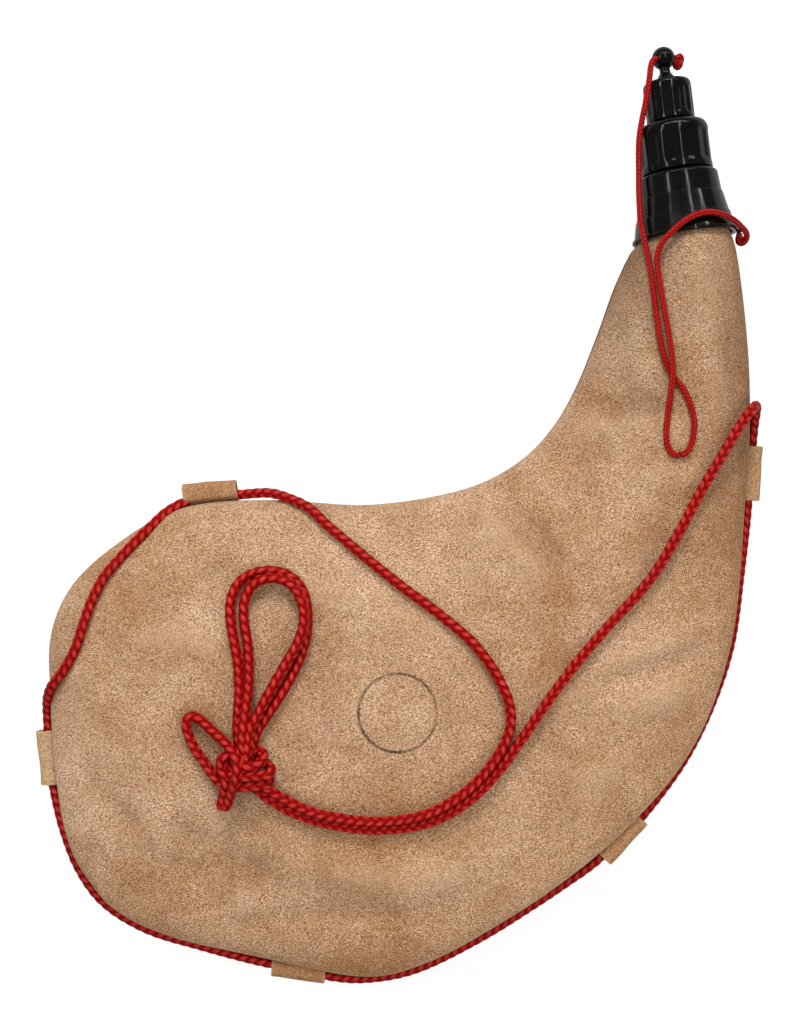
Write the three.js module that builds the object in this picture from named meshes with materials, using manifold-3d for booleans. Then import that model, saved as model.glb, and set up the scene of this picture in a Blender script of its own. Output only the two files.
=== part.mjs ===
// Leather canteen: a curved skin sewn from two panels round a latex bladder, with a plastic
// collar, a screw-on drinking nozzle, a screw stopper, and a carrying cord held in five loops.
// Millimetres. The skin lies on its back: +Z rises out of its face, +Y runs along the nozzle,
// and the origin is on the flat underside, below the middle of the belly.

import * as THREE from "three";
import { mergeVertices } from "three/addons/utils/BufferGeometryUtils.js";
import Module from "manifold-3d";

const wasm = await Module();
wasm.setup();

// Driving dimensions: walls and clearances
const LEATHER = 1.4; // wall of each panel
const LINER_WALL = 0.7; // wall of the bladder
const FIT = 0.3; // clearance between two pieces that touch
const LINER_FIT = 0.5; // clearance of the bladder inside the leather
const THREAD_FIT = 0.35; // clearance round a screw thread
const SEAM_THREAD = 0.9; // diameter of the sewing thread
const THREAD_SIDES = 4;
const SEAM_Z = 27; // height of the seam over the table

// Driving dimensions: the skin in plan, from the belly to the neck
const NECK_X = 177; // axis of the neck and nozzle
const COLLAR_Y = 231; // lower rim of the collar
const STATIONS = [
  { inner: [-123, 112], spine: [-95, 15], outer: [-154, -64.5], rise: 27 },
  { inner: [-90.5, 125], spine: [-62, 9], outer: [-107, -92.5], rise: 30 },
  { inner: [-45.5, 124], spine: [-25, 6], outer: [-54, -110], rise: 31 },
  { inner: [9, 116.5], spine: [12, 4], outer: [-4, -114.5], rise: 31 },
  { inner: [60, 118.5], spine: [58, 18], outer: [64, -94.5], rise: 30 },
  { inner: [86.5, 129.5], spine: [94, 40], outer: [113.5, -60.5], rise: 29 },
  { inner: [103.5, 144.5], spine: [124, 68], outer: [148, -26], rise: 28.5 },
  { inner: [116.5, 163], spine: [146, 100], outer: [177, 26], rise: 28 },
  { inner: [129, 186.5], spine: [160, 143], outer: [192, 97.5], rise: 27 },
  { inner: [141, 210.5], spine: [171, 185], outer: [200, 154.5], rise: 26 },
  { inner: [147.5, 219.5], spine: [175.5, 210], outer: [202.5, 199], rise: 25.5 },
];
const BELLY_END = [
  [-147, 94],
  [-160, 72.5],
  [-165, 45],
  [-167, 10],
  [-168, -25],
  [-164, -45.5],
];
const NECK_SWELL = { below: 5, radius: 25.2 }; // the leather bulges just under the collar
const SKIN_SUBSTEPS = 2; // columns between two stations
const SKIN_RINGS = 4; // rows between the seam and the spine

// Driving dimensions: the collar, along the nozzle axis from its lower rim
const COLLAR = {
  baseRadius: 25.2,
  lip: 1.1,
  lipHeight: 1.6,
  firstStep: 10.5,
  firstRadius: 23.4,
  secondStep: 20.6,
  secondRadius: 20.9,
  topRadius: 19.4,
  height: 32,
  stepDepth: 0.5,
  shoulder: 1.8,
  topPlate: 3,
  wallAtRim: 1.9,
  wallAtTuck: 1.8,
};
const EYE = { radius: 3.6, hole: 1.95, thickness: 2.4, reach: 2.2 };
const TUCK = 20; // how far the leather is tucked up into the collar

// Driving dimensions: the screw joints
const PITCH = 4; // axial travel of one turn, both caps
const THREAD_START = { nozzle: 3, stopper: 2.5 }; // height of the ridge over the open end of each cap
const THREAD_TURNS = 2;
const THREAD_SEGMENTS = 20; // per turn
const THREAD_ROOT = { half: 1.15, sink: 0.5 }; // half height at the root, and depth in the wall
const THREAD_CREST_HALF = 0.5; // half height of the ridge at its crest
const THREAD_RUN_OUT = 1 / 6; // turns over which the ridge fades out at each end
const THREAD_TIP = 0.1; // share of its height left at the very end
const GROOVE_SPARE = 0.15; // turns that the groove runs on past the ridge
const BUSH = { neckRadius: 13.6, crest: 14.7, bore: 11.5, neckRise: 14, wall: 1.8 };
const BUSH_FLANGE = { radius: 17.5, lift: 1, sleeveDrop: 4 };
const SPOUT = { radius: 5.9, crest: 6.8, bore: 4, jet: 1.3, jetLength: 4, length: 15, tipBevel: 0.6 };
const GASKET = { thickness: 1.4, width: 1.9 };
const SEAL = { thickness: 1.6 };

// Driving dimensions: the two caps
const NOZZLE = { radius: 17.4, rise: 1, height: 25, shoulder: 4.5, boreGap: 0.45, chamber: 9, chamberRise: 8 };
// The flutes of each cap, with their heights over its open end
const NOZZLE_FLUTES = { count: 10, radius: 10, depth: 1.1, low: 3, high: 20.5 };
const STOPPER = { radius: 11.4, rise: 0.7, height: 20.3, shoulder: 3.4, boreGap: 0.4 };
const STOPPER_FLUTES = { count: 12, radius: 5, depth: 0.8, low: 2.3, high: 16.8 };
const STEM = { flare: 5.2, radius: 2.6, length: 6.6, flareShare: 0.2, straightShare: 0.6 };
const BALL = { radius: 5.7, hole: 1.9 };
const BALL_STEPS = 6;

// Driving dimensions: the carrying cord, its loops and the tether
const CORD = 5.2; // diameter of the carrying cord
const CORD_SIDES = 8;
const CORD_STEP = 14; // length of one straight piece of its tube
const TETHER = 3; // diameter of the tether
const TETHER_SIDES = 8;
const TETHER_STEP = 8;
const LOOP = { width: 27, slotRun: 0.4, room: 0.4, neck: 1.5 };
const LOOP_SEATS = {
  loop_top_left: 11.62,
  loop_left: 16.94,
  loop_bottom: 21.9,
  loop_lower_right: 24.8,
  loop_right: 28.27,
};

const STRAP_KNOT = { centre: [-70, -1.5, 64], size: [26, 26.4, 15.2] };
const BALL_KNOT = { size: [5.2, 6.4, 6.4] };
const EYE_KNOT = { drop: 3.8, size: [5.4, 5, 5.4] };

const LATHE_SEGMENTS = 24;

// Routes of the cords, each laid by hand over the skin
const STRAP_EDGE_ROUTE = [
  [-74.3, 130.9, 27], [-87, 131, 27.3], [-97, 129.5, 29.5], [-106, 123.8, 34],
  [-114, 116, 37.5], [-121.5, 107.5, 39.6], [-129, 98.5, 42], [-136, 88, 44],
  [-141.5, 76.5, 45.3], [-147, 65, 45.3], [-155, 54.5, 43.2], [-162, 48, 39.2],
  [-168, 42.6, 32.8], [-171, 36, 27.6], [-171.5, 28, 27], [-171.8, 12.3, 27], [-172.3, -2, 27],
  [-172.2, -13, 27], [-171.4, -25.3, 27], [-167.6, -46.8, 27], [-157, -67.2, 27],
  [-135.2, -82.7, 27], [-108.6, -96, 27], [-86, -106.4, 27], [-74, -110.4, 27],
  [-60.4, -113.6, 27], [-46.8, -116.6, 27], [-29.5, -118.4, 27], [-3.5, -118.4, 27],
  [31.6, -111, 27], [65.7, -98, 27], [86, -87, 27], [97, -80, 27],
  [107.6, -71.6, 27], [118.2, -63, 27], [134.6, -47, 27], [151, -28.3, 27],
  [167.4, -3.5, 27], [180.8, 24.6, 27], [190, 60.5, 27], [195.4, 87, 27],
  [197.4, 99.5, 27], [199.4, 112.4, 27],
];
const STRAP_RIGHT_ROUTE = [
  [199.5, 112.8, 27], [201.5, 126, 27.2], [202.8, 134, 28.6], [202.9, 139.6, 32.4],
  [200.6, 143, 37.8], [196.5, 142, 43.4], [191, 137.5, 48.2], [184.5, 130.5, 51.2],
  [174, 117.5, 54.5], [163.5, 104.5, 56.6], [151.5, 87.5, 57.7], [134, 65.5, 58.3],
  [112, 46.5, 58.9], [93, 29.5, 59.2], [76.5, 12, 59.3], [62.5, -4, 59.2],
  [51.4, -16.1, 59], [35.4, -28.7, 59], [15, -36.8, 59.1], [-9.2, -37.6, 59.2],
  [-28, -33.4, 59.3], [-46.2, -24.4, 59.5], [-58, -15.8, 60], [-66, -9, 62],
];
const STRAP_LEFT_ROUTE = [
  [-73.9, 130.9, 27], [-61, 130.7, 27.2], [-52, 131.4, 28.6], [-44, 130.6, 30.4],
  [-35, 127, 33.6], [-26, 119.8, 38.6], [-16.5, 109.6, 44.4], [-3, 95.3, 49.2],
  [14.5, 77.5, 53.9], [32, 61, 56.9], [46.5, 45, 59], [56, 27.5, 60],
  [59.8, 12.5, 60], [57.6, 1.2, 59.6], [46.5, -11.8, 59.3], [31.8, -23.1, 59.3],
  [13.3, -30.6, 59.4], [-8.8, -31.6, 59.5], [-26.2, -27.5, 59.6], [-43.1, -18.8, 59.8],
  [-56, -9.5, 60.3], [-64, -3, 62],
];
const BOW_OUTER_ROUTE = [
  [-73.2, 7, 60.6], [-73.4, 12, 60.2], [-73, 18.3, 59.8], [-72.6, 32.8, 59.2],
  [-71.8, 51.9, 58.2], [-69.9, 70.8, 55.7], [-66, 85.2, 53.5], [-58.6, 92.9, 52],
  [-48, 94.1, 51.5], [-38.1, 90, 52.7], [-31.7, 81.2, 54.3], [-29.9, 70, 56],
  [-33.2, 56.8, 58], [-40.6, 43.1, 59.3], [-49, 32, 59.8], [-57, 21.5, 60.2],
  [-61.8, 14.8, 60.4], [-63, 7, 60.8],
];
const BOW_INNER_ROUTE = [
  [-70.8, 6, 66], [-70.7, 11.5, 65.2], [-69.8, 17, 64.6], [-68, 24.5, 62.6],
  [-67, 33, 60], [-65.9, 51.3, 58.7], [-64.2, 69.3, 56.2], [-60.4, 79.2, 54.4],
  [-55, 85.1, 53.4], [-47.7, 86.9, 53], [-41.4, 83.3, 53.6], [-37, 76.3, 54.9],
  [-36.3, 68.7, 56.2], [-39.5, 58.5, 57.9], [-46.3, 46.2, 59.2], [-55, 34.2, 59.7],
  [-62.4, 24.2, 60], [-67.2, 16, 60.2], [-68.1, 7, 60.6],
];
const SMALL_LOOP_ROUTE = [
  [-77, 3, 61.6], [-80.6, 11.6, 60], [-84, 18.2, 59], [-88.8, 25.4, 58.1],
  [-93, 27.6, 57.7], [-96, 25, 57.5], [-95.7, 18, 57.6], [-92, 8.5, 58.1],
  [-87.5, 0.4, 58.6], [-81, -5, 60], [-76, -6, 61.5],
];
const TAIL_ROUTE = [
  [-73.5, -6.5, 63.5], [-77.5, -11.5, 61.6], [-80.8, -16, 59.6], [-82.6, -19.2, 58.4],
];
const TETHER_UPPER_ROUTE = [
  [182.7, 321.7, 27], [176, 321.7, 27], [169.8, 321.7, 27], [167.4, 320.4, 27.5],
  [167, 316.6, 29.4], [166.6, 310.8, 32.8], [165.6, 304.5, 35], [163.4, 297, 35.2],
  [161.2, 290.5, 35], [158.8, 282, 35], [157.6, 274, 34.6], [156.5, 265, 35],
  [155.3, 256.5, 36.2], [154.2, 247, 38.2], [153.5, 240, 40], [153.5, 232.5, 43.2],
  [153.8, 225.5, 44.2], [154, 213.5, 48.6], [153.8, 200, 51.2], [153.8, 183, 53.6],
  [154.4, 173, 54.4], [156.7, 163.7, 54.9], [161.7, 154.2, 55.6], [164.4, 144, 55.6],
  [164.5, 136.9, 55.5], [161.8, 127.8, 55.7], [158.9, 124, 56.1], [156.1, 123.5, 56.3],
];
const TETHER_LOWER_ROUTE = [
  [155.2, 123.5, 56.3], [152.6, 124.1, 56.2], [150.8, 127.4, 56], [150.4, 132.5, 55.8],
  [152.5, 143, 55.8],
  [154.8, 153, 57], [157.2, 163.6, 58.6], [157.9, 173, 57], [157.8, 184, 55.4],
  [157.5, 200, 52.8], [157.8, 212, 51], [159.5, 221.5, 51.4], [163.7, 230, 53.4],
  [169, 234.6, 54], [175, 236.8, 53.9], [185.2, 237.8, 52], [194, 237, 47.4],
  [200.4, 238, 40.6], [204, 240, 34], [205.5, 240, 29.4], [205.5, 237.2, 27.2],
  [205.5, 233.6, 27], [205.5, 230, 27],
];

// Materials
const suede = () => new THREE.MeshStandardMaterial({ color: 0xc49a72, roughness: 0.95, metalness: 0 });
const blackPlastic = () => new THREE.MeshStandardMaterial({ color: 0x121212, roughness: 0.22, metalness: 0 });
const latex = () => new THREE.MeshStandardMaterial({ color: 0xd9c7a0, roughness: 0.6, metalness: 0 });
const rubber = () => new THREE.MeshStandardMaterial({ color: 0xb8b2a6, roughness: 0.8, metalness: 0 });
const redCord = () => new THREE.MeshStandardMaterial({ color: 0xb0171a, roughness: 0.65, metalness: 0 });
const thread = () => new THREE.MeshStandardMaterial({ color: 0xc8b48e, roughness: 0.8, metalness: 0 });

// Solid helpers
function toSolid(geometry) {
  const bare = geometry.clone();
  bare.deleteAttribute("normal");
  bare.deleteAttribute("uv");
  const merged = mergeVertices(bare, 1e-5);
  return new wasm.Manifold(
    new wasm.Mesh({
      numProp: 3,
      vertProperties: new Float32Array(merged.attributes.position.array),
      triVerts: new Uint32Array(merged.index.array),
    }),
  );
}

function toGeometry(solid) {
  const mesh = solid.getMesh();
  const geometry = new THREE.BufferGeometry();
  geometry.setAttribute("position", new THREE.BufferAttribute(new Float32Array(mesh.vertProperties), 3));
  geometry.setIndex(new THREE.BufferAttribute(new Uint32Array(mesh.triVerts), 1));
  geometry.computeVertexNormals();
  return geometry;
}

// A mesh from shared points and triangles, dropping triangles that have no area.
class Facets {
  constructor() {
    this.positions = [];
    this.triangles = [];
    this.known = new Map();
  }

  point(p) {
    const key = `${p.x.toFixed(4)},${p.y.toFixed(4)},${p.z.toFixed(4)}`;
    if (!this.known.has(key)) {
      this.known.set(key, this.positions.length / 3);
      this.positions.push(p.x, p.y, p.z);
    }
    return this.known.get(key);
  }

  triangle(a, b, c) {
    const [i, j, k] = [this.point(a), this.point(b), this.point(c)];
    if (i !== j && j !== k && k !== i) this.triangles.push(i, j, k);
  }

  quad(a, b, c, d, flip = false) {
    if (flip) [b, d] = [d, b];
    this.triangle(a, b, c);
    this.triangle(a, c, d);
  }

  geometry() {
    const geometry = new THREE.BufferGeometry();
    geometry.setAttribute("position", new THREE.Float32BufferAttribute(this.positions, 3));
    geometry.setIndex(this.triangles);
    geometry.computeVertexNormals();
    return geometry;
  }
}

// The skin: an edge all round and a spine, with domed rows between them
const flatOfTurned = Math.cos(Math.PI / LATHE_SEGMENTS);
const lipRadius = COLLAR.baseRadius + COLLAR.lip;
const tuckRadius = COLLAR.baseRadius - COLLAR.wallAtRim - FIT;
const tuckEndRadius = COLLAR.secondRadius - COLLAR.wallAtTuck - FIT;
const tuckAt = (y) => tuckRadius + ((tuckEndRadius - tuckRadius) * y) / TUCK;
const collarInnerAt = (y) => (tuckAt(y) + FIT) / flatOfTurned;

function neckStation(y, radius) {
  return {
    inner: [NECK_X - radius, COLLAR_Y + y],
    spine: [NECK_X, COLLAR_Y + y],
    outer: [NECK_X + radius, COLLAR_Y + y],
    rise: radius,
  };
}

const stations = [
  ...STATIONS,
  neckStation(-NECK_SWELL.below, NECK_SWELL.radius),
  neckStation(-FIT, tuckRadius),
  neckStation(TUCK, tuckEndRadius),
];

function flatCurve(points) {
  const vectors = points.map(([x, y, z = 0]) => new THREE.Vector3(x, y, z));
  return new THREE.CatmullRomCurve3(vectors, false, "centripetal");
}

const edgePoints = [
  ...stations.map((s) => s.inner).reverse(),
  ...BELLY_END,
  ...stations.map((s) => s.outer),
];
const edgeCurve = flatCurve(edgePoints);
const spineCurve = flatCurve(stations.map((s) => [...s.spine, s.rise]));
const sideColumns = (stations.length - 1) * SKIN_SUBSTEPS;
const allColumns = (edgePoints.length - 1) * SKIN_SUBSTEPS;

// A place on the edge, counted in edge points: its position and the direction out of the skin.
function edgeAt(count) {
  const t = count / (edgePoints.length - 1);
  const tangent = edgeCurve.getTangent(t);
  const out = new THREE.Vector3(tangent.y, -tangent.x, 0);
  return { position: edgeCurve.getPoint(t), out };
}

const columns = Array.from({ length: allColumns + 1 }, (_, i) => {
  const { position, out } = edgeAt(i / SKIN_SUBSTEPS);
  const along = Math.max(sideColumns - i, i - (allColumns - sideColumns), 0);
  const spine = spineCurve.getPoint(along / sideColumns);
  return { position, out, spine };
});

// side is 1 for the front and -1 for the back, inset is the depth below the outer surface.
function skinPoint(column, row, side, inset, halfGap) {
  const rise = column.spine.z - inset;
  const start = Math.asin(halfGap / rise);
  const angle = start + (Math.PI / 2 - start) * (row / SKIN_RINGS);
  const edge = column.position.clone().addScaledVector(column.out, -inset);
  const p = edge.lerp(new THREE.Vector3(column.spine.x, column.spine.y, 0), 1 - Math.cos(angle));
  const z = SEAM_Z + side * rise * Math.sin(angle);
  return new THREE.Vector3(p.x, p.y, Math.max(z, inset));
}

function skinRows(side, inset, halfGap) {
  return columns.map((column) =>
    Array.from({ length: SKIN_RINGS + 1 }, (_, row) => skinPoint(column, row, side, inset, halfGap)),
  );
}

function addSurface(facets, grid, flip) {
  for (let i = 0; i < allColumns; i += 1) {
    for (let j = 0; j < SKIN_RINGS; j += 1) {
      facets.quad(grid[i][j], grid[i + 1][j], grid[i + 1][j + 1], grid[i][j + 1], flip);
    }
  }
}

// Closes the open neck between an outer and an inner surface.
function addNeckRim(facets, outer, inner, flip) {
  const last = allColumns;
  for (let j = 0; j < SKIN_RINGS; j += 1) {
    facets.quad(outer[0][j], outer[0][j + 1], inner[0][j + 1], inner[0][j], flip);
    facets.quad(outer[last][j + 1], outer[last][j], inner[last][j], inner[last][j + 1], flip);
  }
}

function panelGeometry(side) {
  const halfGap = SEAM_THREAD / 2 + FIT;
  const facets = new Facets();
  const outer = skinRows(side, 0, halfGap);
  const inner = skinRows(side, LEATHER, halfGap);
  const back = side < 0;
  addSurface(facets, outer, back);
  addSurface(facets, inner, !back);
  addNeckRim(facets, outer, inner, back);
  for (let i = 0; i < allColumns; i += 1) {
    facets.quad(outer[i][0], inner[i][0], inner[i + 1][0], outer[i + 1][0], back);
  }
  return facets.geometry();
}

function linerGeometry() {
  const facets = new Facets();
  const inset = LEATHER + LINER_FIT;
  for (const side of [1, -1]) {
    const back = side < 0;
    const outer = skinRows(side, inset, 0);
    const inner = skinRows(side, inset + LINER_WALL, 0);
    addSurface(facets, outer, back);
    addSurface(facets, inner, !back);
    addNeckRim(facets, outer, inner, back);
  }
  return facets.geometry();
}

// Tubes along hand-laid routes
function disc(diameter, sides) {
  const points = Array.from({ length: sides }, (_, i) => {
    const angle = (i / sides) * Math.PI * 2;
    return new THREE.Vector2(Math.cos(angle), Math.sin(angle)).multiplyScalar(diameter / 2);
  });
  return new THREE.Shape(points);
}

function tubeGeometry(points, diameter, sides, stepLength) {
  const path = flatCurve(points);
  const steps = Math.ceil(path.getLength() / stepLength);
  return new THREE.ExtrudeGeometry(disc(diameter, sides), { steps, extrudePath: path, bevelEnabled: false });
}

const strapTube = (points, step = CORD_STEP) => tubeGeometry(points, CORD, CORD_SIDES, step);
const tetherTube = (points) => tubeGeometry(points, TETHER, TETHER_SIDES, TETHER_STEP);

// A knot as one rounded body of its outer size, or the room that it needs when it is grown.
function knotGeometry(centre, size, grow = 0) {
  const [x, y, z] = size.map((length) => length / 2 + grow);
  const ball = new THREE.SphereGeometry(1, 14, 10);
  ball.scale(x, y, z);
  ball.translate(...centre);
  return ball;
}

// A cord that ends against the strap's knot.
function knottedTube(points, step) {
  const room = knotGeometry(STRAP_KNOT.centre, STRAP_KNOT.size, FIT);
  return toGeometry(toSolid(strapTube(points, step)).subtract(toSolid(room)));
}

// The sewing thread lies in the seam, midway through the leather, with a ring at each column.
function seamThreadGeometry() {
  const facets = new Facets();
  const rings = columns.map(({ position, out }) =>
    disc(SEAM_THREAD, THREAD_SIDES).getPoints().slice(0, THREAD_SIDES).map((corner) => {
      const p = position.clone().addScaledVector(out, corner.x - LEATHER / 2);
      return new THREE.Vector3(p.x, p.y, SEAM_Z + corner.y);
    }),
  );
  for (let i = 0; i < allColumns; i += 1) {
    for (let k = 0; k < THREAD_SIDES; k += 1) {
      const next = (k + 1) % THREAD_SIDES;
      facets.quad(rings[i][k], rings[i + 1][k], rings[i + 1][next], rings[i][next]);
    }
  }
  for (let k = 1; k + 1 < THREAD_SIDES; k += 1) {
    facets.triangle(rings[0][0], rings[0][k], rings[0][k + 1]);
    facets.triangle(rings[allColumns][0], rings[allColumns][k + 1], rings[allColumns][k]);
  }
  return facets.geometry();
}

// Turned pieces: a profile of [radius, height] points, up the outside and down the inside
function turned(profile, closed = true) {
  const loop = closed ? [...profile, profile[0]] : profile;
  return new THREE.LatheGeometry(loop.map(([r, y]) => new THREE.Vector2(r, y)), LATHE_SEGMENTS);
}

function shoulderArc(radius, top, size, steps = 4) {
  return Array.from({ length: steps + 1 }, (_, i) => {
    const angle = (i / steps) * (Math.PI / 2);
    return [radius - size + size * Math.cos(angle), top - size + size * Math.sin(angle)];
  });
}

// A right-hand screw ridge round the axis, or the cutter for its groove when it is grown.
function screwRidge({ root, crest, from, firstTurn, lastTurn, grow = 0 }) {
  const baseHalf = THREAD_ROOT.half + grow;
  const crestHalf = THREAD_CREST_HALF + grow;
  const sunk = root - THREAD_ROOT.sink;
  const first = Math.round(firstTurn * THREAD_SEGMENTS);
  const last = Math.round(lastTurn * THREAD_SEGMENTS);
  const runOut = THREAD_SEGMENTS * THREAD_RUN_OUT;
  const rings = [];
  for (let i = first; i <= last; i += 1) {
    const angle = (i / THREAD_SEGMENTS) * Math.PI * 2;
    const y = from + (i / THREAD_SEGMENTS) * PITCH;
    const fade = grow > 0 ? 1 : Math.min(1, THREAD_TIP + Math.min(i - first, last - i) / runOut);
    const tip = root + (crest + grow - root) * fade;
    const section = [
      [sunk, -baseHalf],
      [tip, -crestHalf],
      [tip, crestHalf],
      [sunk, baseHalf],
    ];
    rings.push(section.map(([r, dy]) => new THREE.Vector3(r * Math.sin(angle), y + dy, r * Math.cos(angle))));
  }
  const facets = new Facets();
  for (let i = 0; i + 1 < rings.length; i += 1) {
    for (let k = 0; k < 4; k += 1) {
      const next = (k + 1) % 4;
      facets.quad(rings[i][k], rings[i + 1][k], rings[i + 1][next], rings[i][next]);
    }
  }
  const [start, end] = [rings[0], rings[rings.length - 1]];
  facets.quad(start[0], start[1], start[2], start[3]);
  facets.quad(end[3], end[2], end[1], end[0]);
  return toSolid(facets.geometry());
}

function cutFlutes(solid, radius, foot, { count, radius: cutter, depth, low, high }) {
  let cut = solid;
  for (let i = 0; i < count; i += 1) {
    const angle = ((i + 0.5) / count) * Math.PI * 2;
    const reach = radius + cutter - depth;
    const flute = new THREE.CylinderGeometry(cutter, cutter, high - low, 12);
    flute.rotateY(angle);
    flute.translate(reach * Math.sin(angle), foot + (high + low) / 2, reach * Math.cos(angle));
    cut = cut.subtract(toSolid(flute));
  }
  return cut;
}

// Heights along the axis that the screw pieces share
const collarTop = COLLAR.height;
const neckTop = collarTop + BUSH.neckRise;
const nozzleBottom = collarTop + NOZZLE.rise;
const nozzleTop = nozzleBottom + NOZZLE.height;
const nozzleCeiling = neckTop + FIT + GASKET.thickness + FIT;
const spoutTop = nozzleTop + SPOUT.length;
const stopperBottom = nozzleTop + STOPPER.rise;
const stopperTop = stopperBottom + STOPPER.height;
const stopperCeiling = spoutTop + FIT + SEAL.thickness + FIT;
const bushThread = { root: BUSH.neckRadius, crest: BUSH.crest, from: nozzleBottom + THREAD_START.nozzle };
const spoutThread = { root: SPOUT.radius, crest: SPOUT.crest, from: stopperBottom + THREAD_START.stopper };
const nozzleBore = (BUSH.neckRadius + NOZZLE.boreGap) / flatOfTurned;
const stopperBore = (SPOUT.radius + STOPPER.boreGap) / flatOfTurned;
const flatOfRing = Math.cos(Math.PI / (4 * SKIN_RINGS));
const sleeveAt = (y) => (tuckAt(y) - LEATHER - LINER_FIT - LINER_WALL) * flatOfRing - FIT;

const ridge = (screw) => screwRidge({ ...screw, firstTurn: 0, lastTurn: THREAD_TURNS });
const groove = (screw) =>
  screwRidge({ ...screw, firstTurn: -1, lastTurn: THREAD_TURNS + GROOVE_SPARE, grow: THREAD_FIT });

function collarGeometry() {
  const c = COLLAR;
  const plateHole = (BUSH.crest + FIT) / flatOfTurned;
  const flangeRoom = (BUSH_FLANGE.radius + FIT) / flatOfTurned;
  const stepRoom = TUCK + FIT;
  const shell = turned([
    [lipRadius, 0],
    [lipRadius, c.lipHeight],
    [c.baseRadius, c.lipHeight],
    [c.firstRadius, c.firstStep],
    [c.firstRadius - c.stepDepth, c.firstStep],
    [c.secondRadius, c.secondStep],
    [c.secondRadius - c.stepDepth, c.secondStep],
    ...shoulderArc(c.topRadius, c.height, c.shoulder, 3),
    [plateHole, c.height],
    [plateHole, c.height - c.topPlate],
    [flangeRoom, c.height - c.topPlate],
    [flangeRoom, stepRoom],
    [collarInnerAt(TUCK), stepRoom],
    [collarInnerAt(0), 0],
  ]);
  const eyeX = lipRadius + EYE.reach;
  const ear = new THREE.CylinderGeometry(EYE.radius, EYE.radius, EYE.thickness, 20);
  ear.translate(eyeX, EYE.thickness / 2, 0);
  const hole = new THREE.CylinderGeometry(EYE.hole, EYE.hole, EYE.thickness * 3, 16);
  hole.translate(eyeX, EYE.thickness / 2, 0);
  const room = turned([
    [collarInnerAt(0), 0],
    [collarInnerAt(0), EYE.thickness * 2],
    [c.baseRadius - c.wallAtRim / 2, EYE.thickness * 2],
    [c.baseRadius - c.wallAtRim / 2, 0],
  ].reverse());
  const lug = toSolid(ear).subtract(toSolid(room));
  return toGeometry(toSolid(shell).add(lug).subtract(toSolid(hole)));
}

function bushGeometry() {
  const flangeTop = collarTop - COLLAR.topPlate - FIT;
  const flangeFoot = TUCK + 2 * FIT + BUSH_FLANGE.lift;
  const neck = turned([
    [sleeveAt(-BUSH_FLANGE.sleeveDrop), -BUSH_FLANGE.sleeveDrop],
    [sleeveAt(TUCK), TUCK],
    [BUSH_FLANGE.radius, flangeFoot],
    [BUSH_FLANGE.radius, flangeTop],
    [BUSH.neckRadius, flangeTop],
    [BUSH.neckRadius, neckTop],
    [BUSH.bore, neckTop],
    [BUSH.bore, flangeTop],
    [sleeveAt(TUCK) - BUSH.wall, TUCK],
    [sleeveAt(-BUSH_FLANGE.sleeveDrop) - BUSH.wall, -BUSH_FLANGE.sleeveDrop],
  ]);
  return toGeometry(toSolid(neck).add(ridge(bushThread)));
}

function gasketGeometry() {
  const low = neckTop + FIT;
  const high = low + GASKET.thickness;
  const outer = nozzleBore * flatOfTurned - FIT;
  const inner = outer - GASKET.width;
  return turned([
    [outer, low],
    [outer, high],
    [inner, high],
    [inner, low],
  ]);
}

function nozzleGeometry() {
  const n = NOZZLE;
  const bell = turned([
    [n.radius, nozzleBottom],
    ...shoulderArc(n.radius, nozzleTop, n.shoulder),
    [SPOUT.radius, nozzleTop],
    [SPOUT.radius, spoutTop - SPOUT.tipBevel],
    [SPOUT.radius - SPOUT.tipBevel, spoutTop],
    [SPOUT.jet, spoutTop],
    [SPOUT.jet, spoutTop - SPOUT.jetLength],
    [SPOUT.bore, spoutTop - 2 * SPOUT.jetLength],
    [SPOUT.bore, nozzleCeiling + n.chamberRise],
    [n.chamber, nozzleCeiling],
    [nozzleBore, nozzleCeiling],
    [nozzleBore, nozzleBottom],
  ]);
  const threaded = toSolid(bell).subtract(groove(bushThread)).add(ridge(spoutThread));
  return toGeometry(cutFlutes(threaded, n.radius, nozzleBottom, NOZZLE_FLUTES));
}

function sealGeometry() {
  const low = spoutTop + FIT;
  const high = low + SEAL.thickness;
  const radius = stopperBore * flatOfTurned - FIT;
  return turned([[0, low], [radius, low], [radius, high], [0, high]], false);
}

const ballY = stopperTop + STEM.length + Math.sqrt(BALL.radius ** 2 - STEM.radius ** 2);

function stopperGeometry() {
  const s = STOPPER;
  const ballFrom = Math.acos(-(ballY - stopperTop - STEM.length) / BALL.radius);
  const ballArc = Array.from({ length: BALL_STEPS + 1 }, (_, i) => {
    const angle = ballFrom * (1 - i / BALL_STEPS);
    return [i === BALL_STEPS ? 0 : BALL.radius * Math.sin(angle), ballY + BALL.radius * Math.cos(angle)];
  });
  const body = turned(
    [
      [0, stopperCeiling],
      [stopperBore, stopperCeiling],
      [stopperBore, stopperBottom],
      [s.radius, stopperBottom],
      ...shoulderArc(s.radius, stopperTop, s.shoulder),
      [STEM.flare, stopperTop],
      [(STEM.flare + STEM.radius) / 2, stopperTop + STEM.length * STEM.flareShare],
      [STEM.radius, stopperTop + STEM.length * STEM.straightShare],
      ...ballArc,
    ],
    false,
  );
  const hole = new THREE.CylinderGeometry(BALL.hole, BALL.hole, BALL.radius * 3, 12);
  hole.rotateZ(Math.PI / 2);
  hole.translate(0, ballY, 0);
  const threaded = toSolid(body).subtract(groove(spoutThread));
  const solid = cutFlutes(threaded, s.radius, stopperBottom, STOPPER_FLUTES);
  return toGeometry(solid.subtract(toSolid(hole)));
}

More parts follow.
